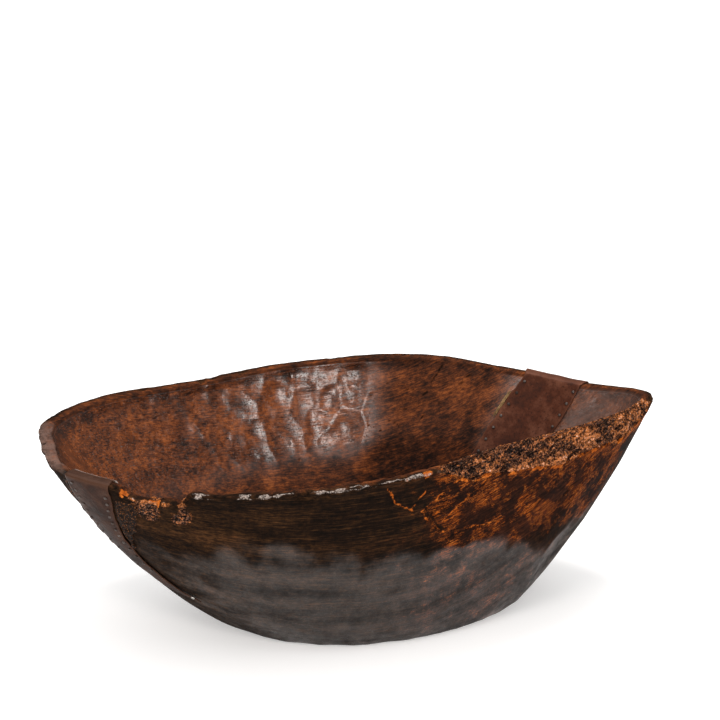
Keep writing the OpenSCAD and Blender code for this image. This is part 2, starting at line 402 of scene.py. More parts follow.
STROKES: tuple[Stroke, ...] = (
    Stroke(Mark.VEIN, 0.0022, 0.0014, (
        (0.747, -0.04), (0.751, -0.13), (0.757, -0.185), (0.765, -0.205), (0.769, -0.265),
        (0.775, -0.31), (0.78, -0.35), (0.792, -0.36), (0.807, -0.38), (0.825, -0.385),
    )),
    Stroke(Mark.VEIN, 0.0022, 0.001, ((0.758, -0.175), (0.764, -0.12), (0.769, -0.06), (0.777, -0.065))),
    Stroke(Mark.VEIN, 0.0022, 0.001, ((0.765, -0.205), (0.773, -0.16), (0.781, -0.105), (0.79, -0.08))),
    Stroke(Mark.VEIN, 0.0022, 0.001, ((0.779, -0.285), (0.788, -0.23), (0.8, -0.17), (0.808, -0.125))),
    Stroke(Mark.VEIN, 0.002, 0.0008, ((0.769, -0.265), (0.776, -0.235), (0.785, -0.185))),
    Stroke(Mark.CRACK, 0.0026, 0.0016, ((0.766, -0.17), (0.769, -0.23), (0.775, -0.305), (0.779, -0.33))),
    Stroke(Mark.CRACK, 0.0018, 0.0012, ((0.771, -0.2), (0.776, -0.165), (0.783, -0.115))),
    Stroke(Mark.CRACK, 0.002, 0.0014, ((0.873, -0.37), (0.8785, -0.32), (0.885, -0.285))),
    Stroke(Mark.CRACK, 0.004, 0.004, ((0.9, 0.9), (0.904, 0.3), (0.908, -0.02), (0.912, -0.1))),
    Stroke(Mark.CRACK, 0.0016, 0.0012, (
        (0.168, 1.0), (0.171, 1.055), (0.173, 1.11), (0.176, 1.175), (0.184, 1.25), (0.193, 1.315),
    )),
    Stroke(Mark.CRACK, 0.0012, 0.0008, ((0.149, 1.04), (0.156, 1.12), (0.167, 1.23), (0.178, 1.33))),
    Stroke(Mark.CRACK, 0.0016, 0.001, ((0.496, 0.0), (0.498, 0.5), (0.494, 1.0), (0.503, 1.1))),
    Stroke(Mark.CUT, 0.0016, 0.0014, ((0.2575, 1.035), (0.26, 1.165))),
    Stroke(Mark.CUT, 0.0016, 0.0014, ((0.366, 1.285), (0.344, 1.305))),
    Stroke(Mark.CUT, 0.0014, 0.0014, ((0.2155, 1.175), (0.208, 1.22))),
    Stroke(Mark.CUT, 0.0014, 0.0012, ((0.2445, 1.275), (0.239, 1.3))),
    Stroke(Mark.CUT, 0.0014, 0.0012, ((0.202, 1.14), (0.182, 1.18))),
    Stroke(Mark.CUT, 0.0014, 0.0012, ((0.2145, 1.36), (0.204, 1.4))),
    Stroke(Mark.CUT, 0.0014, 0.0012, ((0.201, 1.345), (0.19, 1.38))),
    Stroke(Mark.CUT, 0.001, 0.0008, ((0.348, 1.4), (0.353, 1.515))),
    Stroke(Mark.CUT, 0.001, 0.0008, ((0.2695, 1.38), (0.2645, 1.545))),
    Stroke(Mark.CUT, 0.001, 0.0008, ((0.2245, 1.525), (0.178, 1.225))),
)


@dataclass(frozen=True)
class Dent:
    """A dish, chip or hole in the wood.

    Attributes:
        turn: Turn of its middle.
        path: Path of its middle.
        radius: Its radius.
        depth: How deep it is.
        raw: How much fresh wood it shows.
        tall: Its height over its width.
    """

    turn: float
    path: float
    radius: float
    depth: float
    raw: float = 0.0
    tall: float = 1.0


DENTS: tuple[Dent, ...] = tuple(Dent(*row) for row in (
    (0.04, 1.09, 0.0024, 0.007),
    (0.255, 1.06, 0.011, 0.0012, 0.0, 1.5), (0.243, 1.08, 0.01, 0.0012, 0.0, 1.7),
    (0.236, 1.2, 0.012, 0.0015, 0.0, 1.7), (0.228, 1.12, 0.01, 0.0012, 0.0, 1.3),
    (0.219, 1.09, 0.012, 0.0012, 0.0, 1.2), (0.225, 1.2, 0.01, 0.0011, 0.0, 1.5),
    (0.248, 1.33, 0.013, 0.0014, 0.0, 1.4), (0.241, 1.44, 0.012, 0.0012, 0.0, 1.3),
    (0.23, 1.38, 0.011, 0.001, 0.0, 1.4), (0.268, 1.14, 0.011, 0.001, 0.0, 1.6),
    (0.278, 1.25, 0.012, 0.001, 0.0, 1.5), (0.29, 1.3, 0.011, 0.0011, 0.0, 1.6),
    (0.312, 1.04, 0.011, 0.0011, 0.0, 1.2), (0.305, 1.16, 0.011, 0.0011, 0.0, 1.7),
    (0.313, 1.32, 0.011, 0.0013, 0.0, 1.3), (0.302, 1.45, 0.011, 0.0013, 0.0, 1.6),
    (0.292, 1.52, 0.011, 0.0011, 0.0, 1.5), (0.322, 1.18, 0.012, 0.0009, 0.0, 1.5),
    (0.336, 1.24, 0.012, 0.0011, 0.0, 1.3), (0.35, 1.05, 0.011, 0.0011, 0.0, 1.2),
    (0.356, 1.13, 0.012, 0.0009, 0.0, 1.3),
    (0.706, 0.1, 0.009, 0.005, 0.1), (0.7095, -0.03, 0.006, 0.003), (0.713, 0.7, 0.006, 0.003),
    (0.719, 0.05, 0.005, 0.003, 0.2), (0.73, 0.0, 0.006, 0.003, 0.3), (0.741, 0.1, 0.005, 0.0025, 0.2),
    (0.748, 0.8, 0.006, 0.002, 0.2), (0.757, 0.0, 0.007, 0.004, 0.5), (0.767, 0.1, 0.008, 0.004, 0.8),
    (0.773, -0.2, 0.012, 0.003, 0.2), (0.788, -0.33, 0.011, 0.0022, 0.3),
    (0.68, 0.0, 0.006, 0.0025), (0.668, 0.6, 0.007, 0.002), (0.307, 0.6, 0.007, 0.005),
    (0.299, 0.4, 0.006, 0.003), (0.282, 0.7, 0.008, 0.004), (0.345, 0.5, 0.006, 0.003),
    (0.612, 0.3, 0.006, 0.002, 0.9), (0.628, 0.2, 0.009, 0.003, 0.9), (0.645, 0.4, 0.007, 0.003, 0.6),
    (0.52, 0.1, 0.006, 0.003), (0.535, 0.0, 0.007, 0.003),
))


@dataclass(frozen=True)
class Skin:
    """The bowl's vertices before any tool mark, and what its marks have in common.

    Attributes:
        turn: Their turns.
        path: Their paths.
        points: Their places.
        swept: Their places, with the sweep of the grain taken out.
        warped: Their places, shaken, so that lines and edges wander.
        hollow: 1 on the inside.
        rim: 1 on the rim.
        near_side: 1 on the near side.
        drop: Height that the broken rim has lost.
        broken: 1 on the bevel of the broken rim.
        bitten: 1 in the bite.
    """

    turn: np.ndarray
    path: np.ndarray
    points: np.ndarray
    swept: np.ndarray
    warped: np.ndarray
    hollow: np.ndarray
    rim: np.ndarray
    near_side: np.ndarray
    drop: np.ndarray
    broken: np.ndarray
    bitten: np.ndarray


@dataclass(frozen=True)
class Wear:
    """The bowl's breaks, tool marks and stains, with painted shade, painted sheen and painted glints, as
    measures at its vertices.

    Attributes:
        form: The bowl's form.
        break_drop: Height that the outer edge has lost, by turn.
        bite_drop: Depth of the bite.
        bite_turns: Where the bite starts and ends.
        bite_fade: Turns over which the bite deepens.
        girth: Metres round the bowl to a turn.
        wall_run: Metres along the wall from the rim to the foot or the floor.
        gouge: Width and length of a cut in the hollow.
        facet: Width and length of a facet on the outside.
        fibre: Size of a torn fibre.
        sweep: How much the grain bends up towards the pointed end.
        lumps: The noise of damage.
        tools: The noise of tool marks.
    """

    form: BowlForm
    break_drop: Places = (
        (0.77, 0.0), (0.784, 0.012), (0.796, 0.026), (0.804, 0.022), (0.821, 0.028), (0.84, 0.03),
        (0.861, 0.036), (0.875, 0.031), (0.891, 0.029), (0.907, 0.028), (0.915, 0.034),
        (0.935, 0.02), (0.951, 0.012), (0.968, 0.006), (0.99, 0.0),
    )
    bite_drop: float = 0.013
    bite_turns: tuple[float, float] = (0.606, 0.655)
    bite_fade: float = 0.012
    girth: float = 2.0
    wall_run: float = 0.27
    gouge: tuple[float, float] = (0.027, 0.042)
    facet: tuple[float, float] = (0.052, 0.075)
    fibre: Triple = (0.03, 0.0035, 0.0035)
    sweep: float = GRAIN_SWEEP
    lumps: Noise = field(default_factory=lambda: Noise(11))
    tools: Noise = field(default_factory=lambda: Noise(23))

    def broken(self, turn: np.ndarray) -> np.ndarray:
        """Height that the outer edge has lost where the rim is broken."""
        return lookup(self.break_drop, turn)

    def bitten(self, turn: np.ndarray) -> np.ndarray:
        """Height that the rim has lost in the bite beside the near patch."""
        low, high = self.bite_turns
        return self.bite_drop * between(turn, low, high, self.bite_fade)

    def base(self, turn: np.ndarray, path: np.ndarray) -> np.ndarray:
        """Points of the worn bowl before its tool marks.

        Args:
            turn: Turns.
            path: Paths.

        Returns:
            Points, one a row.
        """
        form = self.form
        lost_out = (self.bitten(turn) + self.broken(turn)) / form.height(turn)
        lost_in = self.bitten(turn) / (form.height(turn) - form.floor_t)
        outside = form.outer(turn, np.clip(1.0 + path, 0.0, 1.0) * (1.0 - lost_out))
        inside = form.inner(turn, np.clip(2.0 - path, 0.0, 1.0) * (1.0 - lost_in))
        share = np.clip(path, 0.0, 1.0)[:, None]
        return outside + (inside - outside) * share + 4.0 * form.crown * share * (1.0 - share) * UP

    def under_patches(self, turn: np.ndarray, path: np.ndarray) -> np.ndarray:
        """1 on the wood that a sheet, a bead of pitch or the bast lies on."""
        near = between(turn - lookup(BACK_EDGE, path), -0.012, 0.06, 0.004)
        near *= between(lookup(FRONT_EDGE, path) - turn, -0.022, 0.06, 0.004)
        near *= between(path, -0.73, 1.14, 0.03)
        far = between(turn, 0.057, 0.2, 0.003) * (turn < lookup(LEFT_EDGE, path) + 0.006)
        far *= between(path, -0.19, 1.54, 0.03)
        return np.maximum(near, far)

    def skin(self, turn: np.ndarray, path: np.ndarray, points: np.ndarray) -> Skin:
        """Gathers what the marks have in common.

        Args:
            turn: Turns of the vertices.
            path: Paths of the vertices.
            points: The vertices.

        Returns:
            The skin.
        """
        shake = [self.lumps.at(points + shift, 0.009, 2) for shift in (0.0, 1.0, 2.0)]
        drop = self.broken(turn)
        return Skin(
            turn=turn,
            path=path,
            points=points,
            swept=points - self.sweep * UP * np.clip(points[:, :1], 0.0, None) ** 2,
            warped=points + 0.0022 * np.stack(shake, -1),
            hollow=ease((path - 0.5) / 0.4 + 0.5),
            rim=between(path, -0.06, 1.06, 0.05),
            near_side=between(turn, 0.44, 0.8, 0.05),
            drop=drop,
            broken=ease(drop / 0.01) * between(path, -0.02, 1.03, 0.04),
            bitten=self.bitten(turn) / self.bite_drop,
        )

    def tool_marks(self, skin: Skin) -> tuple[np.ndarray, np.ndarray]:
        """Marks of the adze: cuts in the hollow, facets outside and one long ridge between two of them.

        Args:
            skin: The vertices.

        Returns:
            The height of the marks, and the depth of the facets alone.
        """
        turn, path, points, inside = skin.turn, skin.path, skin.points, skin.hollow
        height = 0.0014 * self.lumps.at(points, 0.11) + 0.0004 * self.lumps.at(points, 0.035)
        round_ = turn * self.girth
        down = np.where(path > 0.5, path - 1.0, -path) * self.wall_run
        cut = self.tools.cuts(round_ / self.gouge[0], down / self.gouge[1])
        strong = between(turn, 0.16, 0.42, 0.05) * (1.0 - 0.5 * ease((path - 1.45) / 0.3))
        height -= inside * (1.0 - skin.rim) * (0.0003 + 0.0016 * strong) * cut
        facet = self.tools.cuts(round_ / self.facet[0] + 5.5, down / self.facet[1] + 3.3)
        height -= (1.0 - inside) * (1.0 - skin.rim) * 0.0011 * facet
        height += 0.0026 * nearness(points, self.form.line(RIDGE), 0.05) ** 2 * (path < 0.0)
        return height, facet

    def chips(self, skin: Skin) -> np.ndarray:
        """Height of the small chips along the sound part of the rim."""
        chipped = np.clip(self.lumps.at(skin.points, 0.0085, 2) - 0.15, 0.0, 1.0)
        height = (0.0005 + 0.0008 * skin.near_side) * self.lumps.at(skin.points, 0.016, 2)
        height -= (0.0008 + 0.0038 * skin.near_side) * chipped
        return skin.rim * (1.0 - skin.broken) * height

    def breaks(self, skin: Skin) -> tuple[np.ndarray, np.ndarray, np.ndarray]:
        """Torn wood on the broken bevel and in the bite.

        Args:
            skin: The vertices.

        Returns:
            The height of the torn wood, the height of the bevel's big lumps alone, and how torn the
            wood round the bite is.
        """
        lumps, points = self.lumps, skin.points
        gnaw = 0.0038 * lumps.at(points, 0.019, 2) + 0.0026 * lumps.at(skin.swept, self.fibre, 2)
        gnaw *= 1.0 - 0.75 * ease((skin.path - 0.72) / 0.28)
        height = skin.broken * (gnaw + 0.0012 * lumps.at(points, 0.0034, 2) - 0.0016)
        torn = skin.bitten * between(skin.path, -0.17, 1.03, 0.08)
        torn *= ease(0.75 + 1.1 * lumps.at(points, 0.014, 2))
        height += torn * (0.0022 * lumps.at(points, 0.006, 2) - 0.001)
        shred = 0.002 * lumps.at(points, 0.011) + 0.0014 * lumps.at(points, self.fibre)
        return height + skin.bitten * skin.rim * shred, gnaw, torn

    def lines(self, skin: Skin) -> tuple[np.ndarray, dict[str, np.ndarray]]:
        """Veins, cracks and single cuts.

        Args:
            skin: The vertices.

        Returns:
            How deep they are, and the amount of each kind.
        """
        depth = np.zeros(len(skin.turn))
        amounts = {mark.value: np.zeros(len(skin.turn)) for mark in Mark}
        for stroke in STROKES:
            near = nearness(skin.warped, self.form.line(stroke.places), stroke.width)
            depth += stroke.depth * ease(near)
            amounts[stroke.mark.value] = np.maximum(amounts[stroke.mark.value], near)
        return depth, amounts

    def fresh(self, skin: Skin) -> np.ndarray:
        """How much fresh wood shows along the break's edges and out to the tip."""
        ragged = ease(0.5 + 1.4 * self.lumps.at(skin.points, 0.008, 2))
        fray = between(skin.path, -0.035, 0.03, 0.02) + 0.7 * between(skin.path, 0.92, 1.03, 0.04)
        to_tip = between(skin.turn, 0.915, 0.985, 0.02) * between(skin.path, -0.1, 1.0, 0.05)
        splinters = ease(0.6 + 1.6 * self.lumps.at(skin.swept, self.fibre, 2))
        return np.maximum(0.85 * fray * ragged * ease(skin.drop / 0.006), 0.75 * to_tip * splinters)

    def dents(self, skin: Skin) -> tuple[np.ndarray, np.ndarray]:
        """Dishes, chips and holes.

        Args:
            skin: The vertices.

        Returns:
            How deep they are, and how much fresh wood they show.
        """
        depth, fresh = np.zeros(len(skin.turn)), np.zeros(len(skin.turn))
        for dent in DENTS:
            middle = self.base(np.array([dent.turn]), np.array([dent.path]))
            gap = np.linalg.norm((skin.warped - middle) / (1.0, 1.0, dent.tall), axis=1) / dent.radius
            dish = np.clip(1.0 - gap * gap, 0.0, 1.0)
            depth += dent.depth * dish
            fresh = np.maximum(fresh, dent.raw * ease(1.6 * dish))
        return depth, fresh

    def stains(self, skin: Skin) -> dict[str, np.ndarray]:
        """How dark, red and grey the wood is, with painted shade deep in the hollow and a painted grey
        sheen at the pointed end.

        Args:
            skin: The vertices.

        Returns:
            The amounts called stain (partly painted shade), ember, ash (a painted sheen) and lip.
        """
        turn, path = skin.turn, skin.path
        # Painted shade: the hollow darkens towards its floor. It is also made darker on its right part and
        # along the rim.
        deep = ease((path - 1.15) / 0.45)
        shade_and_stain = 0.35 * deep + (0.35 + 0.4 * deep) * self.right_side(skin)
        shade_and_stain += 0.45 * between(path, 0.9, 1.09, 0.05) + 0.5 * between(path, 0.2, 1.03, 0.03)
        below = np.clip(-path, 0.0, 1.0)
        under_break = between(turn, 0.745, 0.975, 0.045) * ease((0.62 - below) / 0.3)
        drift = turn + 0.03 * self.lumps.at(skin.points, 0.07, 2)
        reddened = 0.5 * between(drift, 0.66, 1.02, 0.17)
        half_on = np.mod(turn + 0.5, 1.0)
        return {
            # The stain amount holds painted shade deep in the hollow, as well as the darker right part and
            # rim.
            "stain": shade_and_stain * (path > 0.2),
            "ember": np.maximum(under_break, reddened) * (path < 0.02),
            # Painted reflection: where a grey sheen is painted in the hollow at the pointed end.
            "ash": between(half_on, 0.43, 0.575, 0.03) * between(path, 0.95, 1.6, 0.3) ** 0.5,
            "lip": between(turn, 0.435, 0.57, 0.02) * between(path, -0.01, 1.01, 0.05),
        }

    def right_side(self, skin: Skin) -> np.ndarray:
        """1 on the dull part of the hollow between the pointed end and the gouges."""
        return between(skin.turn, 0.1, 0.23, 0.04) * (1.0 - ease((skin.path - 1.6) / 0.35))

    def gloss(self, skin: Skin, facet: np.ndarray) -> dict[str, np.ndarray]:
        """How much the wood shines.

        Args:
            skin: The vertices.
            facet: Depth of the facets on the outside.

        Returns:
            The amounts called polish, spark and rim; spark marks where a painted highlight goes on the near
            rim.
        """
        turn, path, lumps = skin.turn, skin.path, self.lumps
        sound = 1.0 - skin.broken
        buffed = 1.0 - 0.65 * ease((path - 1.38) / 0.25) - 0.7 * self.right_side(skin) * (path > 1.0)
        level = 1.0 - np.clip(-path, 0.0, 1.0)
        sheen = ease((0.6 + 0.13 * lumps.at(skin.points, 0.08, 2) + 0.09 * facet - level) / 0.14)
        sheen *= 0.25 + 0.4 * between(turn, 0.55, 0.99, 0.12)
        flecks = lumps.at(skin.points, (0.02, 0.005, 0.005), 2)
        spots = between(path, -0.02, 0.3, 0.015) * ease(1.8 * flecks + 0.3)
        edge = between(path, -0.035, 1.02, 0.012)
        buffed = buffed * (1.0 - edge) + (0.06 + 0.4 * skin.near_side * spots) * edge
        return {
            "polish": np.where(path < -0.03, sheen, buffed) * sound,
            # Where pale specks of painted highlight go on the near rim.
            "spark": spots * between(turn, 0.64, 0.785, 0.02),
            "rim": between(path, -0.012, 1.03, 0.03) * sound * (0.3 + 0.7 * skin.near_side),
        }

    def relief(
        self, turn: np.ndarray, path: np.ndarray, points: np.ndarray
    ) -> tuple[np.ndarray, dict[str, np.ndarray]]:
        """Heights of the tool marks and damage, and the amounts of each kind of surface.

        Args:
            turn: Turns of the vertices.
            path: Paths of the vertices.
            points: The vertices.

        Returns:
            The height along the normal at each vertex, and the named amounts from 0 to 1.
        """
        skin = self.skin(turn, path, points)
        marks, facet = self.tool_marks(skin)
        breaks, gnaw, torn = self.breaks(skin)
        lines, amounts = self.lines(skin)
        dents, chipped = self.dents(skin)
        height = marks + self.chips(skin) + breaks - lines - dents
        covered = self.under_patches(turn, path)
        height = height * (1.0 - covered) + covered * np.clip(height, -0.0012, 0.0001)
        amounts |= self.stains(skin) | self.gloss(skin, facet)
        amounts |= {
            "hollow": skin.hollow,
            "raw": np.maximum(self.fresh(skin), chipped),
            # Painted shade: darker in the pits of the broken bevel, and darker over the torn wood below the
            # bite's rim.
            "pit": np.clip(0.5 - gnaw / 0.006, 0.0, 1.0) * skin.broken + 0.9 * torn * (path < 0.0),
            "grit": skin.broken + 0.75 * torn,
        }
        return height, amounts


# ---- Finishes ----


class Value:
    """A number socket that Python's own signs work on."""

    def __init__(self, graph: "Graph", socket: bpy.types.NodeSocket) -> None:
        """Wraps a socket of a graph."""
        self.graph = graph
        self.socket = socket

    def _math(self, operation: str, first: "Value | float", second: "Value | float") -> "Value":
        """A Math node on two values."""
        made = self.graph.node("ShaderNodeMath", {"operation": operation}, {0: first, 1: second})
        return Value(self.graph, made.outputs[0])

    def __add__(self, other: "Value | float") -> "Value":
        """Sum."""
        return self._math("ADD", self, other)

    __radd__ = __add__

    def __sub__(self, other: "Value | float") -> "Value":
        """Difference."""
        return self._math("SUBTRACT", self, other)

    def __rsub__(self, other: "Value | float") -> "Value":
        """Difference, from a number."""
        return self._math("SUBTRACT", other, self)

    def __mul__(self, other: "Value | float") -> "Value":
        """Product."""
        return self._math("MULTIPLY", self, other)

    __rmul__ = __mul__

    def __truediv__(self, other: "Value | float") -> "Value":
        """Quotient."""
        return self._math("DIVIDE", self, other)

    def __rtruediv__(self, other: "Value | float") -> "Value":
        """Quotient, of a number."""
        return self._math("DIVIDE", other, self)

    def __pow__(self, other: "Value | float") -> "Value":
        """Power."""
        return self._math("POWER", self, other)

    def __or__(self, other: "Value | float") -> "Value":
        """The greater of two."""
        return self._math("MAXIMUM", self, other)

    def step(self, low: float, high: float) -> "Value":
        """Smooth step from 0 at low to 1 at high."""
        made = self.graph.node(
            "ShaderNodeMapRange",
            {"interpolation_type": "SMOOTHSTEP"},
            {"Value": self, "From Min": low, "From Max": high},
        )
        return Value(self.graph, made.outputs[0])


class Graph:
    """The nodes of one material."""

    def __init__(self, name: str) -> None:
        """Starts a material with no nodes."""
        self.material = bpy.data.materials.new(name)
        self.material.use_nodes = True
        self.tree = self.material.node_tree
        self.tree.nodes.clear()

    def node(self, kind: str, settings: dict[str, Any], values: dict[str | int, Any]) -> bpy.types.Node:
        """Adds a node.

        Args:
            kind: The node's type.
            settings: Its settings, and for a ramp its stops as pairs of place and colour.
            values: A number, colour, Value or socket for each input.

        Returns:
            The node.
        """
        made = self.tree.nodes.new(kind)
        for key, setting in settings.items():
            if key == "stops":
                ramp = made.color_ramp
                while len(ramp.elements) < len(setting):
                    ramp.elements.new(0.5)
                for element, (position, colour) in zip(ramp.elements, setting):
                    element.position = position
                    element.color = (*colour, 1.0)
            else:
                setattr(made, key, setting)
        for key, value in values.items():
            source = value.socket if isinstance(value, Value) else value
            if isinstance(source, bpy.types.NodeSocket):
                self.tree.links.new(source, made.inputs[key])
            else:
                made.inputs[key].default_value = source
        return made

    def measure(self, name: str) -> Value:
        """A named amount of the mesh."""
        return Value(self, self.node("ShaderNodeAttribute", {"attribute_name": name}, {}).outputs["Fac"])

    def place(self) -> tuple[bpy.types.NodeSocket, Value, Value, Value]:
        """Object coordinates, whole and in three parts."""
        whole = self.node("ShaderNodeTexCoord", {}, {}).outputs["Object"]
        parts = self.node("ShaderNodeSeparateXYZ", {}, {0: whole})
        return whole, *(Value(self, socket) for socket in parts.outputs)

    def vector(self, x: Value | float, y: Value | float, z: Value | float) -> bpy.types.NodeSocket:
        """A vector of three values."""
        return self.node("ShaderNodeCombineXYZ", {}, {0: x, 1: y, 2: z}).outputs[0]

    def noise(
        self, where: bpy.types.NodeSocket, scale: float, detail: float = 4.0, rough: float = 0.55
    ) -> Value:
        """Cloudy noise from 0 to 1."""
        values = {"Vector": where, "Scale": scale, "Detail": detail, "Roughness": rough}
        return Value(self, self.node("ShaderNodeTexNoise", {}, values).outputs[0])

    def ramp(self, by: Value, stops: tuple[tuple[float, Colour], ...]) -> bpy.types.NodeSocket:
        """Colours by a value."""
        return self.node("ShaderNodeValToRGB", {"stops": stops}, {0: by}).outputs[0]

    def mix(self, by: Value, first: Any, second: Any) -> bpy.types.NodeSocket:
        """A mix of two colours."""
        first, second = ((*c, 1.0) if isinstance(c, tuple) else c for c in (first, second))
        settings = {"data_type": "RGBA", "blend_type": "MIX", "clamp_factor": True}
        return self.node("ShaderNodeMix", settings, {0: by, 6: first, 7: second}).outputs[2]

    def bump(self, layers: tuple[tuple[Value, float], ...]) -> bpy.types.NodeSocket:
        """Bumps on bumps.

        Args:
            layers: Height from 0 to 1, and its size in metres, for each bump.

        Returns:
            The normal.
        """
        normal = None
        for height, size in layers:
            values = {"Strength": 1.0, "Distance": size, "Height": height}
            values |= {} if normal is None else {"Normal": normal}
            normal = self.node("ShaderNodeBump", {}, values).outputs[0]
        return normal

    def shader(self, **values: Any) -> bpy.types.NodeSocket:
        """A shader, from a value for each of its inputs, with _ for a space in its name."""
        named = {key.replace("_", " "): value for key, value in values.items()}
        return self.node("ShaderNodeBsdfPrincipled", {}, named).outputs[0]

    def ended(self, shader: bpy.types.NodeSocket) -> bpy.types.Material:
        """The material, ended in a shader."""
        self.node("ShaderNodeOutputMaterial", {}, {"Surface": shader})
        return self.material

    def surface(self, **values: Any) -> bpy.types.Material:
        """The material, ended in one shader with these values."""
        return self.ended(self.shader(**values))


class Grain:
    """The patterns that the wood's colours, gloss and bumps share."""

    def __init__(self, g: Graph, heart_depth: float, sweep: float) -> None:
        """Lays growth layers round a line below the bowl, which sweeps up.

        Args:
            g: The material's nodes.
            heart_depth: Depth of the middle of the trunk below the foot.
            sweep: How much the grain bends up towards the pointed end.
        """
        self.g = g
        self.where, self.x, y, z = g.place()
        depth = z + heart_depth - sweep * (self.x | 0.0) ** 2.0
        self.layer = (y * y + depth * depth) ** 0.5
        self.swing = y / depth
        self.fibres = self.drawn(20.0, 480.0, 24.0)
        self.streaks = g.noise(self.fibres, 1.0, 8.0, 0.72)
        self.bands = g.noise(self.drawn(3.0, 42.0, 4.0), 1.0, 3.0)
        self.mottle = g.noise(self.where, 42.0, 9.0, 0.76)
        self.figure = g.noise(self.drawn(90.0, 300.0, 80.0), 1.0, 7.0, 0.78)
        self.pores = g.noise(self.drawn(90.0, 1700.0, 190.0), 1.0, 3.0)
        self.flecks = g.noise(self.drawn(75.0, 760.0, 120.0), 1.0, 4.0, 0.6)
        self.crumbs = g.noise(self.where, 210.0, 7.0, 0.75)
        self.grains = g.noise(self.where, 520.0, 5.0, 0.8)
        self.specks = (g.noise(self.where, 420.0, 5.0, 0.75) - 0.55).step(0.0, 0.07)
        self.thread = 1.0 - ((g.noise(self.fibres, 1.6, 4.0, 0.6) - 0.5) * 26.0) ** 2.0

    def drawn(self, along: float, across: float, round_: float) -> bpy.types.NodeSocket:
        """Places with so many lumps to a metre along the trunk and across and round its layers."""
        return self.g.vector(self.x * along, self.layer * across, self.swing * round_)

    def blend(self, *parts: tuple[Value, float]) -> Value:
        """Patterns added by their shares, with their contrast restored."""
        total = parts[0][0] * parts[0][1]
        for pattern, share in parts[1:]:
            total = total + pattern * share
        return (total - 0.5) * 1.9 + 0.5


@dataclass(frozen=True)
class Damage:
    """How much of each kind of damage the wood shows.

    Attributes:
        raw: Fresh wood.
        vein: Orange veins.
        grit: Torn wood full of dirt.
        dark: Cracks and cuts.
    """

    raw: Value
    vein: Value
    grit: Value
    dark: Value


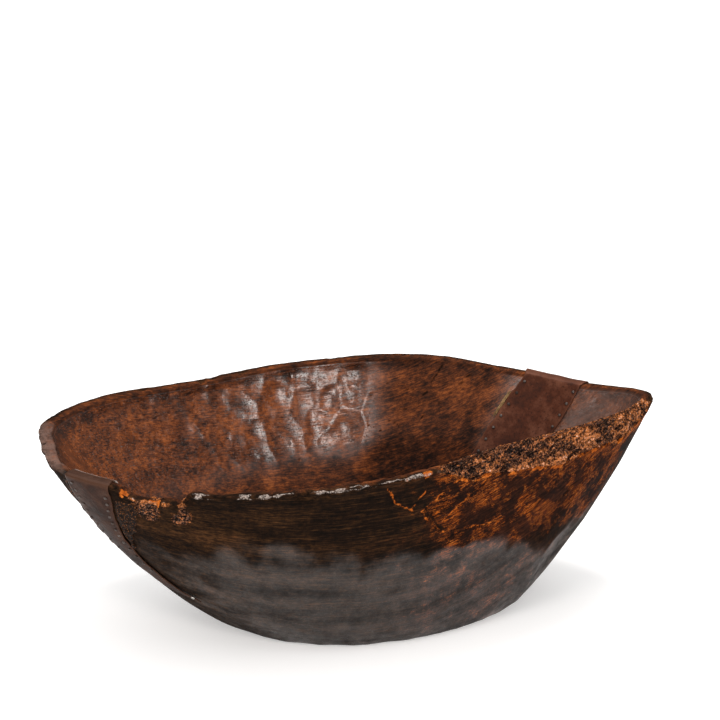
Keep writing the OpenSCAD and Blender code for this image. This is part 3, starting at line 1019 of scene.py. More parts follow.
@dataclass(frozen=True)
class CarvedWood:
    """Dark oiled hardwood: polished and matt wood, mixed by how worn and clean it is.

    Attributes:
        heart_depth: Depth of the middle of the trunk below the foot.
        sweep: How much the grain bends up towards the pointed end.
        hollow_stops: Colours of the hollow.
        outside_stops: Colours of the outside.
        ember_stops: Colours of the reddened outside.
        raw_stops: Colours of fresh wood.
        grit_and_glint_stops: Colours of torn wood; the palest is a painted highlight for its glints.
        ash: Grey of a painted sheen in the hollow at the pointed end.
        rubbed: Colour of the rubbed rim.
        lip: Colour of the blunt end's lip.
        spark: Painted highlight: the pale colour of the rim's brightest spots, standing in for glints.
        crack: Colour in a crack.
        speck: Colour of a pore.
    """

    heart_depth: float = 0.13
    sweep: float = GRAIN_SWEEP
    hollow_stops: tuple[tuple[float, Colour], ...] = (
        (0.32, (0.009, 0.005, 0.004)),
        (0.43, (0.045, 0.015, 0.007)),
        (0.51, (0.115, 0.032, 0.01)),
        (0.6, (0.22, 0.062, 0.015)),
        (0.74, (0.4, 0.14, 0.038)),
    )
    outside_stops: tuple[tuple[float, Colour], ...] = (
        (0.34, (0.002, 0.0015, 0.001)),
        (0.46, (0.007, 0.0035, 0.002)),
        (0.56, (0.022, 0.01, 0.004)),
        (0.7, (0.07, 0.03, 0.011)),
    )
    ember_stops: tuple[tuple[float, Colour], ...] = (
        (0.36, (0.004, 0.002, 0.0015)),
        (0.47, (0.012, 0.004, 0.002)),
        (0.58, (0.03, 0.009, 0.004)),
        (0.78, (0.1, 0.024, 0.006)),
    )
    raw_stops: tuple[tuple[float, Colour], ...] = (
        (0.35, (0.06, 0.012, 0.002)),
        (0.5, (0.28, 0.06, 0.006)),
        (0.65, (0.68, 0.21, 0.035)),
    )
    grit_and_glint_stops: tuple[tuple[float, Colour], ...] = (
        (0.34, (0.003, 0.002, 0.002)),
        (0.46, (0.016, 0.008, 0.004)),
        (0.55, (0.085, 0.04, 0.026)),
        (0.63, (0.4, 0.11, 0.014)),
        (0.74, (0.52, 0.21, 0.08)),
        # Painted highlight: pale glints on the torn wood.
        (0.82, (0.65, 0.56, 0.52)),
    )
    # Grey of a painted sheen, not of the wood.
    ash: Colour = (0.11, 0.068, 0.055)
    rubbed: Colour = (0.1, 0.035, 0.015)
    lip: Colour = (0.17, 0.105, 0.085)
    # Colour of a painted highlight: glints on the rim.
    spark: Colour = (0.42, 0.35, 0.31)
    crack: Colour = (0.004, 0.003, 0.002)
    speck: Colour = (0.006, 0.003, 0.002)

    def sound_colour(self, g: Graph, grain: Grain, grain_out: Value) -> bpy.types.NodeSocket:
        """Colour of wood that isn't damaged.

        Args:
            g: The material's nodes.
            grain: The wood's patterns.
            grain_out: The blend of them that colours the outside.

        Returns:
            The colour.
        """
        grain_in = grain.blend(
            (grain.bands, 0.1), (grain.flecks, 0.22), (grain.mottle, 0.3), (grain.figure, 0.2),
            (grain.crumbs, 0.18),
        )
        # The stain amount darkens the hollow, with painted shade towards its floor.
        inside = g.ramp(grain_in - g.measure("stain") * 0.11, self.hollow_stops)
        # Painted reflection: a grey sheen mixed into the hollow's colour at the pointed end.
        inside = g.mix(g.measure("ash") * (grain.crumbs * 1.6 - 0.15), inside, self.ash)
        return g.mix(g.measure("hollow"), g.ramp(grain_out, self.outside_stops), inside)

    def damage(self, g: Graph, grain: Grain) -> Damage:
        """Amounts of damage, with their edges broken up by the grain."""
        broken_up = (grain.streaks - 0.5) * 2.4 + (grain.crumbs - 0.5) * 2.4 + 1.0
        return Damage(
            raw=(g.measure("raw") * broken_up).step(0.45, 0.8),
            vein=(g.measure("vein") * (grain.crumbs * 3.0 - 0.4)).step(0.5, 0.85),
            grit=(g.measure("grit") + (grain.crumbs - 0.5) * 0.8).step(0.4, 0.7),
            dark=(g.measure("crack") | (g.measure("cut") * 0.8)).step(0.1, 0.7) * 0.9,
        )

    def colour(self, g: Graph, grain: Grain, hurt: Damage) -> bpy.types.NodeSocket:
        """Colour of all of the wood.

        Args:
            g: The material's nodes.
            grain: The wood's patterns.
            hurt: Its damage.

        Returns:
            The colour.
        """
        crumbs, mottle, streaks = grain.crumbs, grain.mottle, grain.streaks
        grain_out = grain.blend(
            (grain.bands, 0.16), (streaks, 0.3), (mottle, 0.14), (grain.flecks, 0.22), (crumbs, 0.18)
        )
        colour = self.sound_colour(g, grain, grain_out)
        ember = g.measure("ember")
        glow = (ember + (grain.bands - 0.5) * 0.9 + (crumbs + mottle - 1.0) * 1.1).step(0.1, 1.0)
        colour = g.mix(glow, colour, g.ramp(grain_out, self.ember_stops))
        bright = g.ramp(crumbs * 0.5 + streaks * 0.5, self.raw_stops)
        lit = ((grain.thread | 0.0) * ember * (mottle * 5.0 - 2.15 | 0.0)).step(0.15, 0.5)
        colour = g.mix(hurt.raw | lit * 0.9, colour, bright)
        rubble = (crumbs * 0.3 + streaks * 0.25 + grain.grains * 0.45 - 0.5) * 2.7 + 0.6
        # Painted shade: torn wood is darkened in its pits; its palest colour is a painted highlight for
        # glints.
        colour = g.mix(hurt.grit, colour, g.ramp(rubble - g.measure("pit") * 0.16, self.grit_and_glint_stops))
        colour = g.mix(hurt.vein * 0.9, colour, bright)
        rubbed = g.measure("rim") * (1.0 - hurt.grit) * (mottle + streaks - 0.5).step(0.4, 0.8)
        colour = g.mix(rubbed * 0.35, colour, self.rubbed)
        lip = g.measure("lip") * (0.35 + streaks).step(0.6, 0.95)
        colour = g.mix(lip * 0.7, colour, self.lip)
        # Painted highlight: pale specks mixed into the near rim's colour stand in for glints.
        spark = (g.measure("spark") * (grain.grains * 2.6 - 0.8)).step(0.3, 0.7)
        colour = g.mix(spark * 0.7, colour, self.spark)
        colour = g.mix(hurt.dark, colour, self.crack)
        return g.mix(grain.specks * 0.5, colour, self.speck)

    def gloss(self, g: Graph, grain: Grain, hurt: Damage) -> tuple[Value, Value]:
        """Share of polished wood, and its roughness.

        Args:
            g: The material's nodes.
            grain: The wood's patterns.
            hurt: Its damage.

        Returns:
            The share and the roughness.
        """
        patchy = (grain.mottle - 0.5) * 0.8 + (grain.bands - 0.5) * 0.6
        polish = (g.measure("polish") + patchy * (1.0 - g.measure("hollow") * 0.6)).step(0.0, 1.1)
        polish = polish * (1.0 - hurt.raw * 0.6) * (1.0 - hurt.vein * 0.7) * (1.0 - hurt.dark)
        glint = hurt.grit * (grain.grains - 0.5).step(0.03, 0.1)
        shine = (polish | glint).step(0.0, 1.0)
        return shine, 0.8 - shine * 0.54 - glint * 0.1 + (grain.mottle - 0.5) * 0.16

    def make(self) -> bpy.types.Material:
        """The material."""
        g = Graph("carved_wood")
        grain = Grain(g, self.heart_depth, self.sweep)
        hurt = self.damage(g, grain)
        colour = self.colour(g, grain, hurt)
        shine, rough = self.gloss(g, grain, hurt)
        torn = hurt.grit | g.measure("rim") * 0.3
        normal = g.bump((
            (g.noise(grain.where, 60.0, 2.0, 0.5), 0.0004),
            (g.noise(grain.fibres, 1.0, 3.0, 0.5), 0.00022),
            (g.noise(grain.where, 210.0, 2.0, 0.5), 0.0002),
            (g.noise(grain.where, 480.0, 3.0, 0.6) * torn, 0.0026),
            (grain.pores, 0.00005),
            (1.0 - grain.specks, 0.00008),
        ))
        polished = g.shader(
            Base_Color=colour, Roughness=rough, Specular_IOR_Level=0.55, Normal=normal
        )
        matt = g.shader(Base_Color=colour, Roughness=0.8, Specular_IOR_Level=0.03, Normal=normal)
        shown = g.node("ShaderNodeMixShader", {}, {0: 1.0 - shine, 1: polished, 2: matt})
        return g.ended(shown.outputs[0])


@dataclass(frozen=True)
class SheetIron:
    """Thin sheet iron, browned by age and handling.

    Attributes:
        name: Name of its material.
        dark: Colour of its stains.
        plain: Colour of most of it.
        worn: Colour where it is rubbed.
        metal: How much of it is bare metal.
        gloss: How much it shines where it isn't bare.
    """

    name: str
    dark: Colour
    plain: Colour
    worn: Colour
    metal: float = 0.35
    gloss: float = 0.12

    def make(self) -> bpy.types.Material:
        """The material."""
        g = Graph(self.name)
        where = g.place()[0]
        stain = g.noise(where, 38.0, 6.0, 0.6)
        specks = g.noise(where, 420.0, 3.0)
        rust = g.noise(where, 120.0, 5.0, 0.7)
        colour = g.ramp(stain * 0.7 + rust * 0.3, ((0.35, self.dark), (0.5, self.plain), (0.68, self.worn)))
        colour = g.mix((specks - 0.55).step(0.0, 0.12) * 0.6, colour, self.dark)
        worn = g.measure("worn").step(0.2, 0.8)
        colour = g.mix(worn * (0.5 + rust * 0.5), colour, self.worn)
        # Painted highlight: a pale line mixed into the colour along the fold.
        bright = (g.measure("bright") * (rust + 0.5)).step(0.3, 0.7)
        colour = g.mix(bright, colour, (0.5, 0.44, 0.4))
        rough = 0.5 + (rust - 0.5) * 0.35 - worn * 0.15
        normal = g.bump(((stain, 0.0012), (rust, 0.0005), (specks, 0.00012)))
        metal = (self.metal + (rust - 0.5) * 0.5 + worn * 0.3).step(0.1, 0.9)
        return g.surface(
            Base_Color=colour, Roughness=rough, Metallic=metal, Specular_IOR_Level=self.gloss,
            Normal=normal,
        )


@dataclass(frozen=True)
class Pitch:
    """Old black pitch, lumpy and half shiny."""

    def make(self) -> bpy.types.Material:
        """The material."""
        g = Graph("pitch")
        where = g.place()[0]
        lumps = g.noise(where, 160.0, 5.0, 0.65)
        dust = g.noise(where, 700.0, 3.0)
        stops = ((0.35, (0.003, 0.002, 0.002)), (0.6, (0.01, 0.006, 0.004)), (0.75, (0.04, 0.022, 0.014)))
        colour = g.ramp(lumps, stops)
        colour = g.mix((dust - 0.57).step(0.0, 0.06) * 0.7, colour, (0.2, 0.07, 0.02))
        rough = 0.35 + lumps * 0.4
        normal = g.bump(((lumps, 0.0026), (dust, 0.0006)))
        return g.surface(Base_Color=colour, Roughness=rough, Specular_IOR_Level=0.05, Normal=normal)


@dataclass(frozen=True)
class Bast:
    """Pale dry plant fibre."""

    def make(self) -> bpy.types.Material:
        """The material."""
        g = Graph("bast")
        where, x, y, z = g.place()
        threads = g.noise(g.vector(x * 900.0, y * 900.0, z * 90.0), 1.0, 3.0)
        dirt = g.noise(where, 120.0, 4.0)
        stops = ((0.35, (0.04, 0.02, 0.008)), (0.5, (0.16, 0.09, 0.03)), (0.65, (0.32, 0.2, 0.08)))
        colour = g.ramp(threads * 0.6 + dirt * 0.4, stops)
        normal = g.bump(((threads, 0.0003),))
        return g.surface(Base_Color=colour, Roughness=0.85, Normal=normal)


@dataclass(frozen=True)
class PaleFloor:
    """Plain pale studio floor, lit evenly from below as well."""

    colour: Colour = (0.8, 0.8, 0.8)
    glow: float = 0.34

    def make(self) -> bpy.types.Material:
        """The material."""
        g = Graph("pale_floor")
        return g.surface(
            Base_Color=(*self.colour, 1.0), Roughness=0.9, Specular_IOR_Level=0.0,
            Emission_Color=(*self.colour, 1.0), Emission_Strength=self.glow / self.colour[0],
        )


NEAR_IRON = SheetIron(
    "near_sheet_iron", (0.005, 0.002, 0.001), (0.024, 0.009, 0.005), (0.06, 0.028, 0.017), 0.0, 0.06
)
FAR_IRON = SheetIron(
    "far_sheet_iron", (0.016, 0.006, 0.004), (0.052, 0.015, 0.007), (0.12, 0.045, 0.025), 0.05, 0.06
)
TACK_IRON = SheetIron(
    "tack_iron", (0.01, 0.007, 0.006), (0.03, 0.02, 0.016), (0.09, 0.075, 0.068), 0.4, 0.2
)
BRIGHT_NAIL = SheetIron("bright_nail", (0.12, 0.11, 0.1), (0.45, 0.43, 0.4), (0.75, 0.73, 0.7), 0.95)


# ---- Mesh work ----


def added(name: str, data: bpy.types.ID) -> bpy.types.Object:
    """A new object in the scene."""
    made = bpy.data.objects.new(name, data)
    bpy.context.scene.collection.objects.link(made)
    return made


def coordinates(mesh: bpy.types.Mesh) -> np.ndarray:
    """A mesh's vertices, one a row."""
    flat = np.zeros(len(mesh.vertices) * 3, np.float32)
    mesh.vertices.foreach_get("co", flat)
    return flat.reshape(-1, 3).astype(float)


def set_coordinates(mesh: bpy.types.Mesh, points: np.ndarray) -> None:
    """Moves a mesh's vertices."""
    mesh.vertices.foreach_set("co", points.astype(np.float32).ravel())
    mesh.update()


def set_amount(mesh: bpy.types.Mesh, name: str, amount: np.ndarray) -> None:
    """Keeps an amount at each vertex, cut to 0 and 1."""
    kept = mesh.attributes.new(name, "FLOAT", "POINT")
    kept.data.foreach_set("value", np.clip(amount, 0.0, 1.0).astype(np.float32))


def reopened(mesh: bpy.types.Mesh) -> bmesh.types.BMesh:
    """A bmesh of a mesh."""
    bm = bmesh.new()
    bm.from_mesh(mesh)
    return bm


def outlined(points: Iterable[tuple[float, float]]) -> tuple[bmesh.types.BMesh, list[bmesh.types.BMEdge]]:
    """An outline in the plane of the x and z axes.

    Args:
        points: Its points.

    Returns:
        The outline and its edges.
    """
    bm = bmesh.new()
    verts = [bm.verts.new((x, 0.0, z)) for x, z in points]
    return bm, [bm.edges.new(pair) for pair in zip(verts[:-1], verts[1:])]


def spun(bm: bmesh.types.BMesh, steps: int, merged: float) -> None:
    """Spins an outline once round the z axis.

    Args:
        bm: The outline.
        steps: Columns of faces round it.
        merged: Distance within which its points are merged.
    """
    bmesh.ops.spin(
        bm, geom=bm.verts[:] + bm.edges[:], cent=(0, 0, 0), axis=(0, 0, 1), dvec=(0, 0, 0),
        angle=2.0 * math.pi, steps=steps, use_merge=True, use_duplicate=False,
    )
    bmesh.ops.remove_doubles(bm, verts=bm.verts[:], dist=merged)


def evened(
    bm: bmesh.types.BMesh, verts: list[bmesh.types.BMVert], factor: float, times: int
) -> None:
    """Evens out some of a mesh's vertices.

    Args:
        bm: The mesh.
        verts: The vertices.
        factor: How far each goes towards the middle of its neighbours.
        times: How often.
    """
    for _ in range(times):
        bmesh.ops.smooth_vert(
            bm, verts=verts, factor=factor, use_axis_x=True, use_axis_y=True, use_axis_z=True
        )


# ---- Pieces ----


class Finish(Protocol):
    """What a piece is finished with."""

    def make(self) -> bpy.types.Material:
        """The material."""


@dataclass
class Piece:
    """One piece of the bowl.

    Attributes:
        name: Its name.
        node: The CAD node that it stands for.
        slot: The record's material slot; not used.
        finish: What it is finished with.
        form: The bowl's form.
    """

    name: str
    node: str
    slot: str
    finish: Finish
    form: BowlForm

    def shape(self) -> bpy.types.Mesh:
        """The piece's mesh."""
        raise NotImplementedError

    def mesh_of(self, bm: bmesh.types.BMesh) -> bpy.types.Mesh:
        """Turns a bmesh into the piece's mesh, and frees it."""
        mesh = bpy.data.meshes.new(self.name)
        bm.to_mesh(mesh)
        bm.free()
        return mesh

    def joined(self, parts: Iterable[bmesh.types.BMesh]) -> bpy.types.Mesh:
        """The piece's mesh, made of several parts, which are freed."""
        whole = bmesh.new()
        for bm in parts:
            part = self.mesh_of(bm)
            whole.from_mesh(part)
            bpy.data.meshes.remove(part)
        return self.mesh_of(whole)

    def build(self) -> bpy.types.Object:
        """Makes the piece, dresses it and fastens it to the frame.

        Returns:
            The piece's object.
        """
        mesh = self.shape()
        mesh.shade_smooth()
        mesh.materials.append(self.finish.make())
        made = added(self.name, mesh)
        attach(made, "root")
        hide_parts(self.node)
        LOG.info("%s: %d vertices, %d faces", self.name, len(mesh.vertices), len(mesh.polygons))
        return made


@dataclass
class BowlBody(Piece):
    """The hollowed trunk.

    Attributes:
        wear: Its breaks, tool marks and stains.
        foot_dish: How far the middle of the foot is hollowed.
        columns: Columns of faces round it.
        rows: Rows of faces on its foot, outside, rim, inside and floor.
        crowd: Where its columns are closer together, and how much closer.
        fine: Parts with faces of half the size: turns and paths.
    """

    wear: Wear
    foot_dish: float = 0.0012
    columns: int = 440
    rows: tuple[int, ...] = (3, 60, 14, 52, 6)
    crowd: tuple[tuple[float, float, float], ...] = (
        (0.165, 0.41, 0.5), (0.6, 0.745, 0.4), (0.745, 0.97, 1.2),
    )
    fine: tuple[tuple[float, float, float, float], ...] = (
        (0.17, 0.4, 1.0, 1.48), (0.745, 0.968, -0.42, 1.02), (0.6, 0.745, -0.05, 1.05),
    )

    def turn_of(self, share: np.ndarray) -> np.ndarray:
        """Turn of a column, from its share of the way round the blank."""
        turns = np.linspace(0.0, 1.0, 2001)
        density = np.ones(len(turns))
        for low, high, more in self.crowd:
            density += more * between(turns, low - 0.01, high + 0.01, 0.02)
        total = np.concatenate([[0.0], np.cumsum((density[1:] + density[:-1]) / 2.0)])
        return np.interp(share, total / total[-1], turns)

    def path_of(self, rise: np.ndarray) -> np.ndarray:
        """Path of a row, from its height on the blank."""
        outside = np.clip(1.0 + rise, 0.0, 1.0)
        inside = np.clip(2.0 - rise, 0.0, 1.0)
        bent_out = 0.55 * outside**1.5 + 0.45 * (1.0 - (1.0 - outside) ** 1.5)
        bent_in = 0.75 * inside**1.4 + 0.25 * (1.0 - (1.0 - inside) ** 1.5)
        return np.where(rise <= 0.0, bent_out - 1.0, np.where(rise >= 1.0, 2.0 - bent_in, rise))

    def places_of(self, points: np.ndarray) -> tuple[np.ndarray, np.ndarray]:
        """Turns and paths of the blank's points."""
        share = np.mod(np.arctan2(points[:, 1], points[:, 0]) / (2.0 * math.pi), 1.0)
        return self.turn_of(share), self.path_of(points[:, 2])

    def blank(self) -> bmesh.types.BMesh:
        """A drum whose height is the path and whose angle is the turn.

        Returns:
            The drum, closed by the foot and by the floor, with its fine parts divided.
        """
        bm, edges = outlined(((0, -1), (1, -1), (1, 0), (1, 1), (1, 2), (0, 2)))
        for edge, rows in zip(edges, self.rows):
            bmesh.ops.subdivide_edges(bm, edges=[edge], cuts=rows - 1)
        spun(bm, self.columns, 1e-5)
        middles = np.array([face.calc_center_median()[:] for face in bm.faces])
        turn, path = self.places_of(middles)
        on_wall = np.hypot(middles[:, 0], middles[:, 1]) > 0.98
        chosen = np.zeros(len(turn), bool)
        for low, high, start, end in self.fine:
            chosen |= (turn > low) & (turn < high) & (path > start) & (path < end) & on_wall
        bm.faces.ensure_lookup_table()
        bm.edges.index_update()
        divided = {edge for i in np.flatnonzero(chosen) for edge in bm.faces[i].edges}
        bmesh.ops.subdivide_edges(
            bm, edges=sorted(divided, key=lambda edge: edge.index), cuts=1, use_grid_fill=True
        )
        bmesh.ops.recalc_face_normals(bm, faces=bm.faces[:])
        return bm

    def seated(self, blank: np.ndarray, turn: np.ndarray, path: np.ndarray) -> np.ndarray:
        """The blank's points, moved onto the bowl.

        Args:
            blank: Points of the blank.
            turn: Their turns.
            path: Their paths.

        Returns:
            Points of the bowl before its tool marks.
        """
        points = self.wear.base(turn, path)
        inset = np.clip(np.hypot(blank[:, 0], blank[:, 1]), 0.0, 1.0)
        middle = np.append(np.asarray(self.form.foot_mid) - self.form.mid, 0.0)
        foot, floor = blank[:, 2] < -0.9999, blank[:, 2] > 1.9999
        for cap in (foot, floor):
            flat = points[cap]
            shrunk = middle + (flat - middle) * inset[cap][:, None]
            shrunk[:, 2] = flat[:, 2]
            points[cap] = np.where((inset[cap] > 0.999)[:, None], flat, shrunk)
        points[:, 2] += self.foot_dish * foot * (1.0 - inset**6)
        return points

    def shape(self) -> bpy.types.Mesh:
        """The bowl's mesh, with its amounts of each kind of surface."""
        mesh = self.mesh_of(self.blank())
        blank = coordinates(mesh)
        turn, path = self.places_of(blank)
        set_coordinates(mesh, self.seated(blank, turn, path))

        bm = reopened(mesh)
        bm.verts.ensure_lookup_table()
        sound = self.wear.broken(turn) <= 0.002
        rim = np.flatnonzero((path > -0.03) & (path < 1.03) & sound)
        evened(bm, [bm.verts[i] for i in rim], 0.5, 5)
        bm.to_mesh(mesh)
        bm.free()

        points = coordinates(mesh)
        normals = np.zeros(len(points) * 3, np.float32)
        mesh.vertex_normals.foreach_get("vector", normals)
        height, amounts = self.wear.relief(turn, path, points)
        points += height[:, None] * normals.reshape(-1, 3)
        points[:, 2] = np.maximum(points[:, 2], 0.0)
        set_coordinates(mesh, points)
        for name, amount in amounts.items():
            set_amount(mesh, name, amount)
        return mesh


@dataclass
class Strip(Piece):
    """A piece that follows the bowl between two edges.

    Attributes:
        paths: Where it starts and ends.
        sides: Its two edges.
    """

    paths: tuple[float, float]
    sides: tuple[Places, Places]

    def laid(
        self, columns: int, rows: int
    ) -> tuple[bpy.types.Mesh, np.ndarray, np.ndarray, np.ndarray]:
        """A flat grid, and the places on the bowl where its vertices go.

        Args:
            columns: Columns of faces.
            rows: Rows of faces.

        Returns:
            The mesh, its vertices from -1 to 1 both ways, their turns and their paths.
        """
        bm = bmesh.new()
        bmesh.ops.create_grid(bm, x_segments=columns, y_segments=rows, size=1.0)
        mesh = self.mesh_of(bm)
        flat = coordinates(mesh)
        share, rise = (flat[:, 0] + 1.0) / 2.0, (flat[:, 1] + 1.0) / 2.0
        path = self.paths[0] + (self.paths[1] - self.paths[0]) * rise
        turn = lookup(self.sides[0], path) * (1.0 - share) + lookup(self.sides[1], path) * share
        return mesh, flat, turn, path

    def thickened(
        self, bm: bmesh.types.BMesh, turn: np.ndarray, path: np.ndarray, thick: float
    ) -> bpy.types.Mesh:
        """Turns the open strip to face the wood, and gives it its thickness on its other side.

        Args:
            bm: The strip.
            turn: Turns of its vertices.
            path: Paths of its vertices.
            thick: Its thickness.

        Returns:
            The closed mesh.
        """
        bmesh.ops.recalc_face_normals(bm, faces=bm.faces[:])
        bm.faces.ensure_lookup_table()
        middle = bm.faces[len(bm.faces) // 4]
        corner = middle.verts[0].index
        if middle.normal.dot(self.form.facing(float(turn[corner]), float(path[corner]))) > 0.0:
            bmesh.ops.reverse_faces(bm, faces=bm.faces[:])
        bmesh.ops.solidify(bm, geom=bm.faces[:], thickness=thick)
        return self.mesh_of(bm)


@dataclass
class FittedSheet(Strip):
    """A sheet folded over the rim and tacked down.

    Attributes:
        tacks: Places of the tacks that hold it down.
        bright: How strongly a painted highlight is put along its fold.
        thick: Its thickness.
        seat: Its distance from the wood.
        least: The least of that distance.
        waves: How far it stands off between its tacks.
        pull: How wide a tack pulls it down.
        torn: How uneven its edges are, in turns.
        grid: Columns and rows of faces.
    """

    tacks: Places
    bright: float = 0.0
    thick: float = 0.001
    seat: float = 0.0008
    least: float = 0.00025
    waves: float = 0.0004
    pull: float = 0.004
    torn: float = 0.0007
    grid: tuple[int, int] = (24, 170)

    def shape(self) -> bpy.types.Mesh:
        """The sheet's mesh."""
        mesh, flat, turn, path = self.laid(*self.grid)
        side = np.abs(flat[:, 0]) ** 6 * np.sign(flat[:, 0])
        turn = turn + self.torn * Noise(31).at(flat, (1.0, 0.06, 1.0), 2) * side
        wood = self.form.place(turn, path, 0.0)
        off = self.seat + self.waves * Noise(37).at(wood, 0.016, 2)
        for place in self.tacks:
            gap = np.linalg.norm(wood - self.form.line((place,))[0], axis=1)
            off = off - self.waves * np.exp(-((gap / self.pull) ** 2))
        set_coordinates(mesh, self.form.place(turn, path, np.maximum(off, self.least)))
        folded = between(path, -0.03, 0.25, 0.05) + 0.5 * between(path, 0.2, 1.05, 0.1)
        set_amount(mesh, "worn", folded + 0.6 * np.abs(flat[:, 0]) ** 14)
        # Where the painted highlight goes along the fold.
        set_amount(mesh, "bright", self.bright * between(path, 0.9, 1.03, 0.03))

        bm = reopened(mesh)
        evened(bm, [v for v in bm.verts if -0.04 < path[v.index] < 1.04], 0.4, 3)
        return self.thickened(bm, turn, path, self.thick)


@dataclass
class PitchBead(Strip):
    """A lumpy ridge of pitch along a sheet's edge.

    Attributes:
        high: Its greatest height.
        crust: Its least thickness.
        sunk: How far its edges sink into the wood.
        ragged: How uneven its outer edge is, in turns.
        grid: Columns and rows of faces.
    """

    high: float
    crust: float = 0.0005
    sunk: float = 0.0009
    ragged: float = 0.0025
    grid: tuple[int, int] = (12, 110)

    def shape(self) -> bpy.types.Mesh:
        """The bead's mesh."""
        mesh, flat, turn, path = self.laid(*self.grid)
        uneven = Noise(41).at(self.form.place(turn, path, 0.0), 0.006, 2)
        turn = turn + self.ragged * uneven * (0.5 + 0.5 * flat[:, 0]) ** 2
        seat = self.form.place(turn, path, 0.0)
        swell = np.clip(1.0 - flat[:, 0] ** 2, 0.0, 1.0)
        swell *= np.sqrt(np.clip(1.0 - flat[:, 1] ** 10, 0.0, 1.0))
        lump = 0.5 + 0.7 * Noise(43).at(seat, 0.007, 2) + 0.4 * Noise(47).at(seat, 0.0028)
        off = swell * (self.crust + self.high * np.clip(lump, 0.05, 1.2)) - self.sunk
        set_coordinates(mesh, self.form.place(turn, path, off))
        return self.thickened(reopened(mesh), turn, path, self.crust)


@dataclass
class TackRow(Piece):
    """Tacks driven through a sheet.

    Attributes:
        tacks: Their places.
        head: Diameter of a head.
        shank: Diameter of a shank.
        length: Length below the head.
        point: Length of the point.
        lift: Height of the heads above the wood.
        tilt: How far a tack leans.
        hammered: How uneven a head is, across and in height.
        sides: Columns of faces round a tack.
    """

    tacks: Places
    head: float = 0.0036
    shank: float = 0.0016
    length: float = 0.01
    point: float = 0.003
    lift: float = 0.00165
    tilt: float = 0.05
    hammered: tuple[float, float] = (0.07, 0.1)
    sides: int = 14

    def one(self, wobble: np.random.Generator) -> bmesh.types.BMesh:
        """One hammered tack, upright, with its head's underside at height 0.

        Args:
            wobble: Where its unevenness comes from.

        Returns:
            The tack.
        """
        r, high, thin = self.head / 2.0, self.head * 0.3, self.shank / 2.0
        bm, _ = outlined((
            (0.0, high), (0.45 * r, 0.95 * high), (0.8 * r, 0.66 * high), (r, 0.25 * high),
            (0.97 * r, 0.0), (thin, 0.0), (thin, self.point - self.length), (0.0, -self.length),
        ))
        spun(bm, self.sides, 1e-6)
        bmesh.ops.recalc_face_normals(bm, faces=bm.faces[:])
        across, up = self.hammered
        for vert in bm.verts:
            if vert.co.z > -1e-6:
                vert.co.x *= 1.0 + across * wobble.standard_normal()
                vert.co.y *= 1.0 + across * wobble.standard_normal()
                vert.co.z *= 1.0 + up * wobble.standard_normal()
        return bm

    def driven(self, turn: float, path: float, wobble: np.random.Generator) -> bmesh.types.BMesh:
        """One tack, driven into the wood at a place.

        Args:
            turn: Turn of the place.
            path: Path of the place.
            wobble: Where its unevenness comes from.

        Returns:
            The tack.
        """
        bm = self.one(wobble)
        aim = self.form.facing(turn, path)
        aim += Vector((self.tilt * wobble.standard_normal(3)).tolist())
        foot = Vector(self.form.line(((turn, path),))[0].tolist())
        turned = aim.to_track_quat("Z", "Y").to_matrix().to_4x4()
        spot = Matrix.Translation(foot + aim.normalized() * self.lift)
        bmesh.ops.transform(bm, matrix=spot @ turned, verts=bm.verts[:])
        return bm

    def shape(self) -> bpy.types.Mesh:
        """The tacks' mesh."""
        wobble = np.random.default_rng(5)
        mesh = self.joined(self.driven(turn, path, wobble) for turn, path in self.tacks)
        set_amount(mesh, "worn", Noise(3).at(coordinates(mesh), 0.02) + 0.6)
        return mesh


@dataclass
class BastSliver(Piece):
    """A twist of bast strands, packed beside the far patch.

    Attributes:
        paths: Where it starts and ends.
        strands: How many strands it has.
        thick: Radius of a strand.
        spread: Width of the sliver in turns.
        gap: Turns between it and the patch.
        girth: Metres round the hollow to a turn, beside it.
    """

    paths: tuple[float, float] = (1.1, 1.262)
    strands: int = 9
    thick: float = 0.0006
    spread: float = 0.0024
    gap: float = 0.0005
    girth: float = 1.4

    def strand(self, random: np.random.Generator) -> bmesh.types.BMesh:
        """One strand, tapered to both ends and twisted among the others.

        Args:
            random: Where its course comes from.

        Returns:
            The strand.
        """
        bm = bmesh.new()
        bmesh.ops.create_cone(bm, cap_ends=True, segments=7, radius1=1.0, radius2=1.0, depth=2.0)
        long = [e for e in bm.edges if abs(e.verts[0].co.z - e.verts[1].co.z) > 1.0]
        bmesh.ops.subdivide_edges(bm, edges=long, cuts=24)
        side, phase, start, end = random.uniform((-1, 0, 0, 0.85), (1, 6, 0.15, 1))
        for vert in bm.verts:
            along = start + (end - start) * (vert.co.z + 1.0) / 2.0
            path = self.paths[0] + (self.paths[1] - self.paths[0]) * along
            across = 0.8 * side + 0.25 * math.sin(phase + 9.0 * along)
            turn = float(lookup(LEFT_EDGE, path)) + self.gap + self.spread * (0.5 + 0.5 * across)
            thin = self.thick * (1.0 - 0.7 * abs(2.0 * along - 1.0) ** 3)
            turn += vert.co.x * thin / self.girth
            off = 0.0008 + 0.0004 * math.sin(2.0 * phase + 7.0 * along) + vert.co.y * thin
            vert.co = self.form.place(np.array(turn), np.array(path), off).tolist()
        bmesh.ops.recalc_face_normals(bm, faces=bm.faces[:])
        return bm

    def shape(self) -> bpy.types.Mesh:
        """The sliver's mesh."""
        random = np.random.default_rng(17)
        return self.joined(self.strand(random) for _ in range(self.strands))


# ---- Studio ----


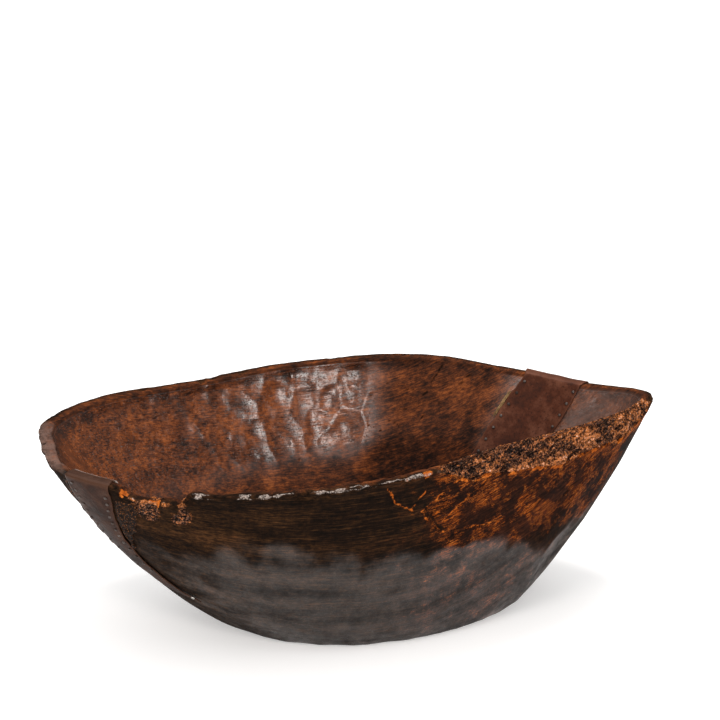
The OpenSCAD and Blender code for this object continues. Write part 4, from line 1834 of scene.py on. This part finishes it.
@dataclass(frozen=True)
class Softbox:
    """A soft light with square corners.

    Attributes:
        name: Its name.
        aim: Direction from the bowl to it.
        far: Its distance.
        size: Its width and height.
        power: Its power in watts.
        tint: Its colour.
    """

    name: str
    aim: Triple
    far: float
    size: tuple[float, float]
    power: float
    tint: Colour = (1.0, 0.94, 0.9)

    def hang(self, middle: Vector) -> None:
        """Hangs it, facing the bowl."""
        data = bpy.data.lights.new(self.name, "AREA")
        data.shape = "RECTANGLE"
        data.size, data.size_y = self.size
        data.energy = self.power
        data.color = self.tint
        lamp = added(self.name, data)
        aim = Vector(self.aim).normalized()
        lamp.location = middle + aim * self.far
        lamp.rotation_euler = aim.to_track_quat("Z", "Y").to_euler()


@dataclass(frozen=True)
class Studio:
    """Floor, lights and camera.

    Attributes:
        azimuth: The camera's angle round the bowl, in degrees.
        elevation: Its angle above the floor, in degrees.
        distance: Its distance from its target.
        aside: How far its target lies from the bowl's middle, in plan.
        target_h: Height of its target.
        lens: Its focal length in millimetres.
        sensor: Width of its sensor in millimetres.
        pan: How far it is then turned aside, in degrees.
        tilt: How far it is then turned up, in degrees.
        floor_size: Width of the floor.
        sky: Strength of the light from all round.
        sun: Strength of the light from above.
        sun_angle: How wide that light is, in degrees.
        sun_from: Where it comes from.
        lights: The softboxes.
    """

    azimuth: float = -15.65
    elevation: float = 22.0
    distance: float = 2.7
    aside: tuple[float, float] = (-0.0106, -0.0017)
    target_h: float = 0.11
    lens: float = 124.8
    sensor: float = 36.0
    pan: float = -0.3615
    tilt: float = 3.44
    floor_size: float = 40.0
    sky: float = 0.1
    sun: float = 2.6
    sun_angle: float = 95.0
    sun_from: Triple = (0.0, 0.08, 1.0)
    lights: tuple[Softbox, ...] = (
        Softbox("front_softbox", (0.08, -0.9, 0.37), 2.6, (0.8, 0.55), 34.0),
        Softbox("top_softbox", (0.25, 0.12, 0.96), 2.0, (0.7, 0.4), 26.0),
        Softbox("left_softbox", (-0.71, -0.585, 0.374), 2.2, (0.7, 0.9), 22.0),
    )

    def build(self) -> None:
        """Makes the floor, the lights and the camera."""
        low, high = CAD_BOX
        middle = (low + high) / 2.0
        self.lay_floor(low.z)
        self.light(middle)
        self.aim_camera(middle)
        LOG.info("studio: floor, %d lights and camera", len(self.lights) + 1)

    def lay_floor(self, height: float) -> None:
        """Lays the floor at a height."""
        bm = bmesh.new()
        bmesh.ops.create_grid(bm, x_segments=1, y_segments=1, size=self.floor_size / 2.0)
        bmesh.ops.translate(bm, verts=bm.verts[:], vec=(0.0, 0.0, height))
        mesh = bpy.data.meshes.new("floor")
        bm.to_mesh(mesh)
        bm.free()
        mesh.materials.append(PaleFloor().make())
        added("floor", mesh)

    def light(self, middle: Vector) -> None:
        """Lights the bowl.

        Args:
            middle: Middle of the bowl's box.
        """
        sun = bpy.data.lights.new("overhead", "SUN")
        sun.energy = self.sun
        sun.angle = math.radians(self.sun_angle)
        lamp = added("overhead", sun)
        lamp.rotation_euler = Vector(self.sun_from).to_track_quat("Z", "Y").to_euler()
        for softbox in self.lights:
            softbox.hang(middle)
        world = bpy.data.worlds.new("studio")
        world.use_nodes = True
        sky = world.node_tree.nodes["Background"]
        sky.inputs["Color"].default_value = (1.0, 1.0, 1.0, 1.0)
        sky.inputs["Strength"].default_value = self.sky
        bpy.context.scene.world = world
        bpy.context.scene.view_settings.view_transform = "Standard"

    def aim_camera(self, middle: Vector) -> None:
        """Sets the camera at its azimuth and elevation.

        Args:
            middle: Middle of the bowl's box.
        """
        a, e = math.radians(self.azimuth), math.radians(self.elevation)
        sight = -Vector((math.sin(a) * math.cos(e), -math.cos(a) * math.cos(e), math.sin(e)))
        target = Vector((middle.x + self.aside[0], middle.y + self.aside[1], self.target_h))
        camera = bpy.data.cameras.new("camera")
        camera.lens = self.lens
        camera.sensor_width = self.sensor
        made = added("camera", camera)
        made.location = target - sight * self.distance
        level = sight.to_track_quat("-Z", "Y").to_matrix()
        swing = Matrix.Rotation(math.radians(self.tilt), 3, "X")
        swing = swing @ Matrix.Rotation(math.radians(self.pan), 3, "Y")
        made.rotation_euler = (level @ swing).to_euler()
        bpy.context.scene.camera = made


# ---- The whole bowl ----


def shifted(edge: Places, by: float) -> Places:
    """An edge, moved by a turn."""
    return tuple((path, turn + by) for path, turn in edge)


def spaced(first: float, step: float, count: int) -> tuple[float, ...]:
    """Equally spaced turns or paths."""
    return tuple(first + step * i for i in range(count))


def beside(edge: Places, by: float, paths: tuple[float, ...]) -> Places:
    """Places of tacks at a turn from an edge."""
    return tuple((float(lookup(edge, p)) + by, p) for p in paths)


def main() -> None:
    """Builds the bowl, its mends and the studio."""
    logging.basicConfig(level=logging.INFO, format="%(message)s")
    form = BowlForm.fitted(*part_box("bowl_body"))
    back = beside(BACK_EDGE, 0.005, spaced(-0.03, -0.045, 12))
    front = beside(FRONT_EDGE, -0.004, spaced(-0.07, -0.042, 12))
    flap = tuple((turn, 1.06) for turn in spaced(0.581, 0.007, 3))
    tip: Places = ((0.602, -0.667),)
    down = spaced(1.04, 0.07, 7)
    left = beside(LEFT_EDGE, -0.004, down)
    right = beside(RIGHT_EDGE, 0.004, down)
    outer = tuple((turn, -0.1) for turn in spaced(0.07, 0.009, 5))
    near_pitch = tuple((p, float(lookup(FRONT_EDGE, p)) + 0.0005) for p, _ in FRONT_PITCH)
    far_pitch = tuple((p, t + w) for (p, t), (_, w) in zip(near_pitch, FRONT_PITCH))
    tack_groups = {
        "near_patch_back_tacks": back, "near_patch_front_tacks": front,
        "near_patch_flap_tacks": flap, "far_patch_left_tacks": left,
        "far_patch_right_tacks": right, "far_patch_outer_tacks": outer,
    }
    pieces: list[Piece] = [
        BowlBody("bowl", "bowl_body", "carved_wood", CarvedWood(), form, Wear(form)),
        # The near sheet gets a painted highlight along its fold.
        FittedSheet(
            "near_patch", "near_patch_sheet", "near_sheet_iron", NEAR_IRON, form,
            (-0.69, 1.1), (BACK_EDGE, FRONT_EDGE), back + front + flap + tip, bright=1.0,
        ),
        FittedSheet(
            "far_patch", "far_patch_sheet", "far_sheet_iron", FAR_IRON, form,
            (-0.15, 1.5), (RIGHT_EDGE, LEFT_EDGE), left + right + outer, grid=(40, 150),
        ),
        PitchBead(
            "back_pitch", "pitch_back_bead", "pitch", Pitch(), form, (-0.5, -0.035),
            (shifted(BACK_EDGE, -0.0085), shifted(BACK_EDGE, -0.0005)), 0.0018,
        ),
        PitchBead(
            "front_pitch", "pitch_front_bead", "pitch", Pitch(), form, (-0.4, -0.08),
            (near_pitch, far_pitch), 0.003,
        ),
        BastSliver("bast", "bast_caulking", "bast", Bast(), form),
        TackRow("bright_nail", "near_patch_tip_nail", "bright_nail", BRIGHT_NAIL, form, tip, 0.004),
    ]
    for node, tacks in tack_groups.items():
        pieces.append(TackRow(f"{node}_row", node, "tack_iron", TACK_IRON, form, tacks))
    for piece in pieces:
        piece.build()
    Studio().build()


if __name__ == "__main__":
    main()
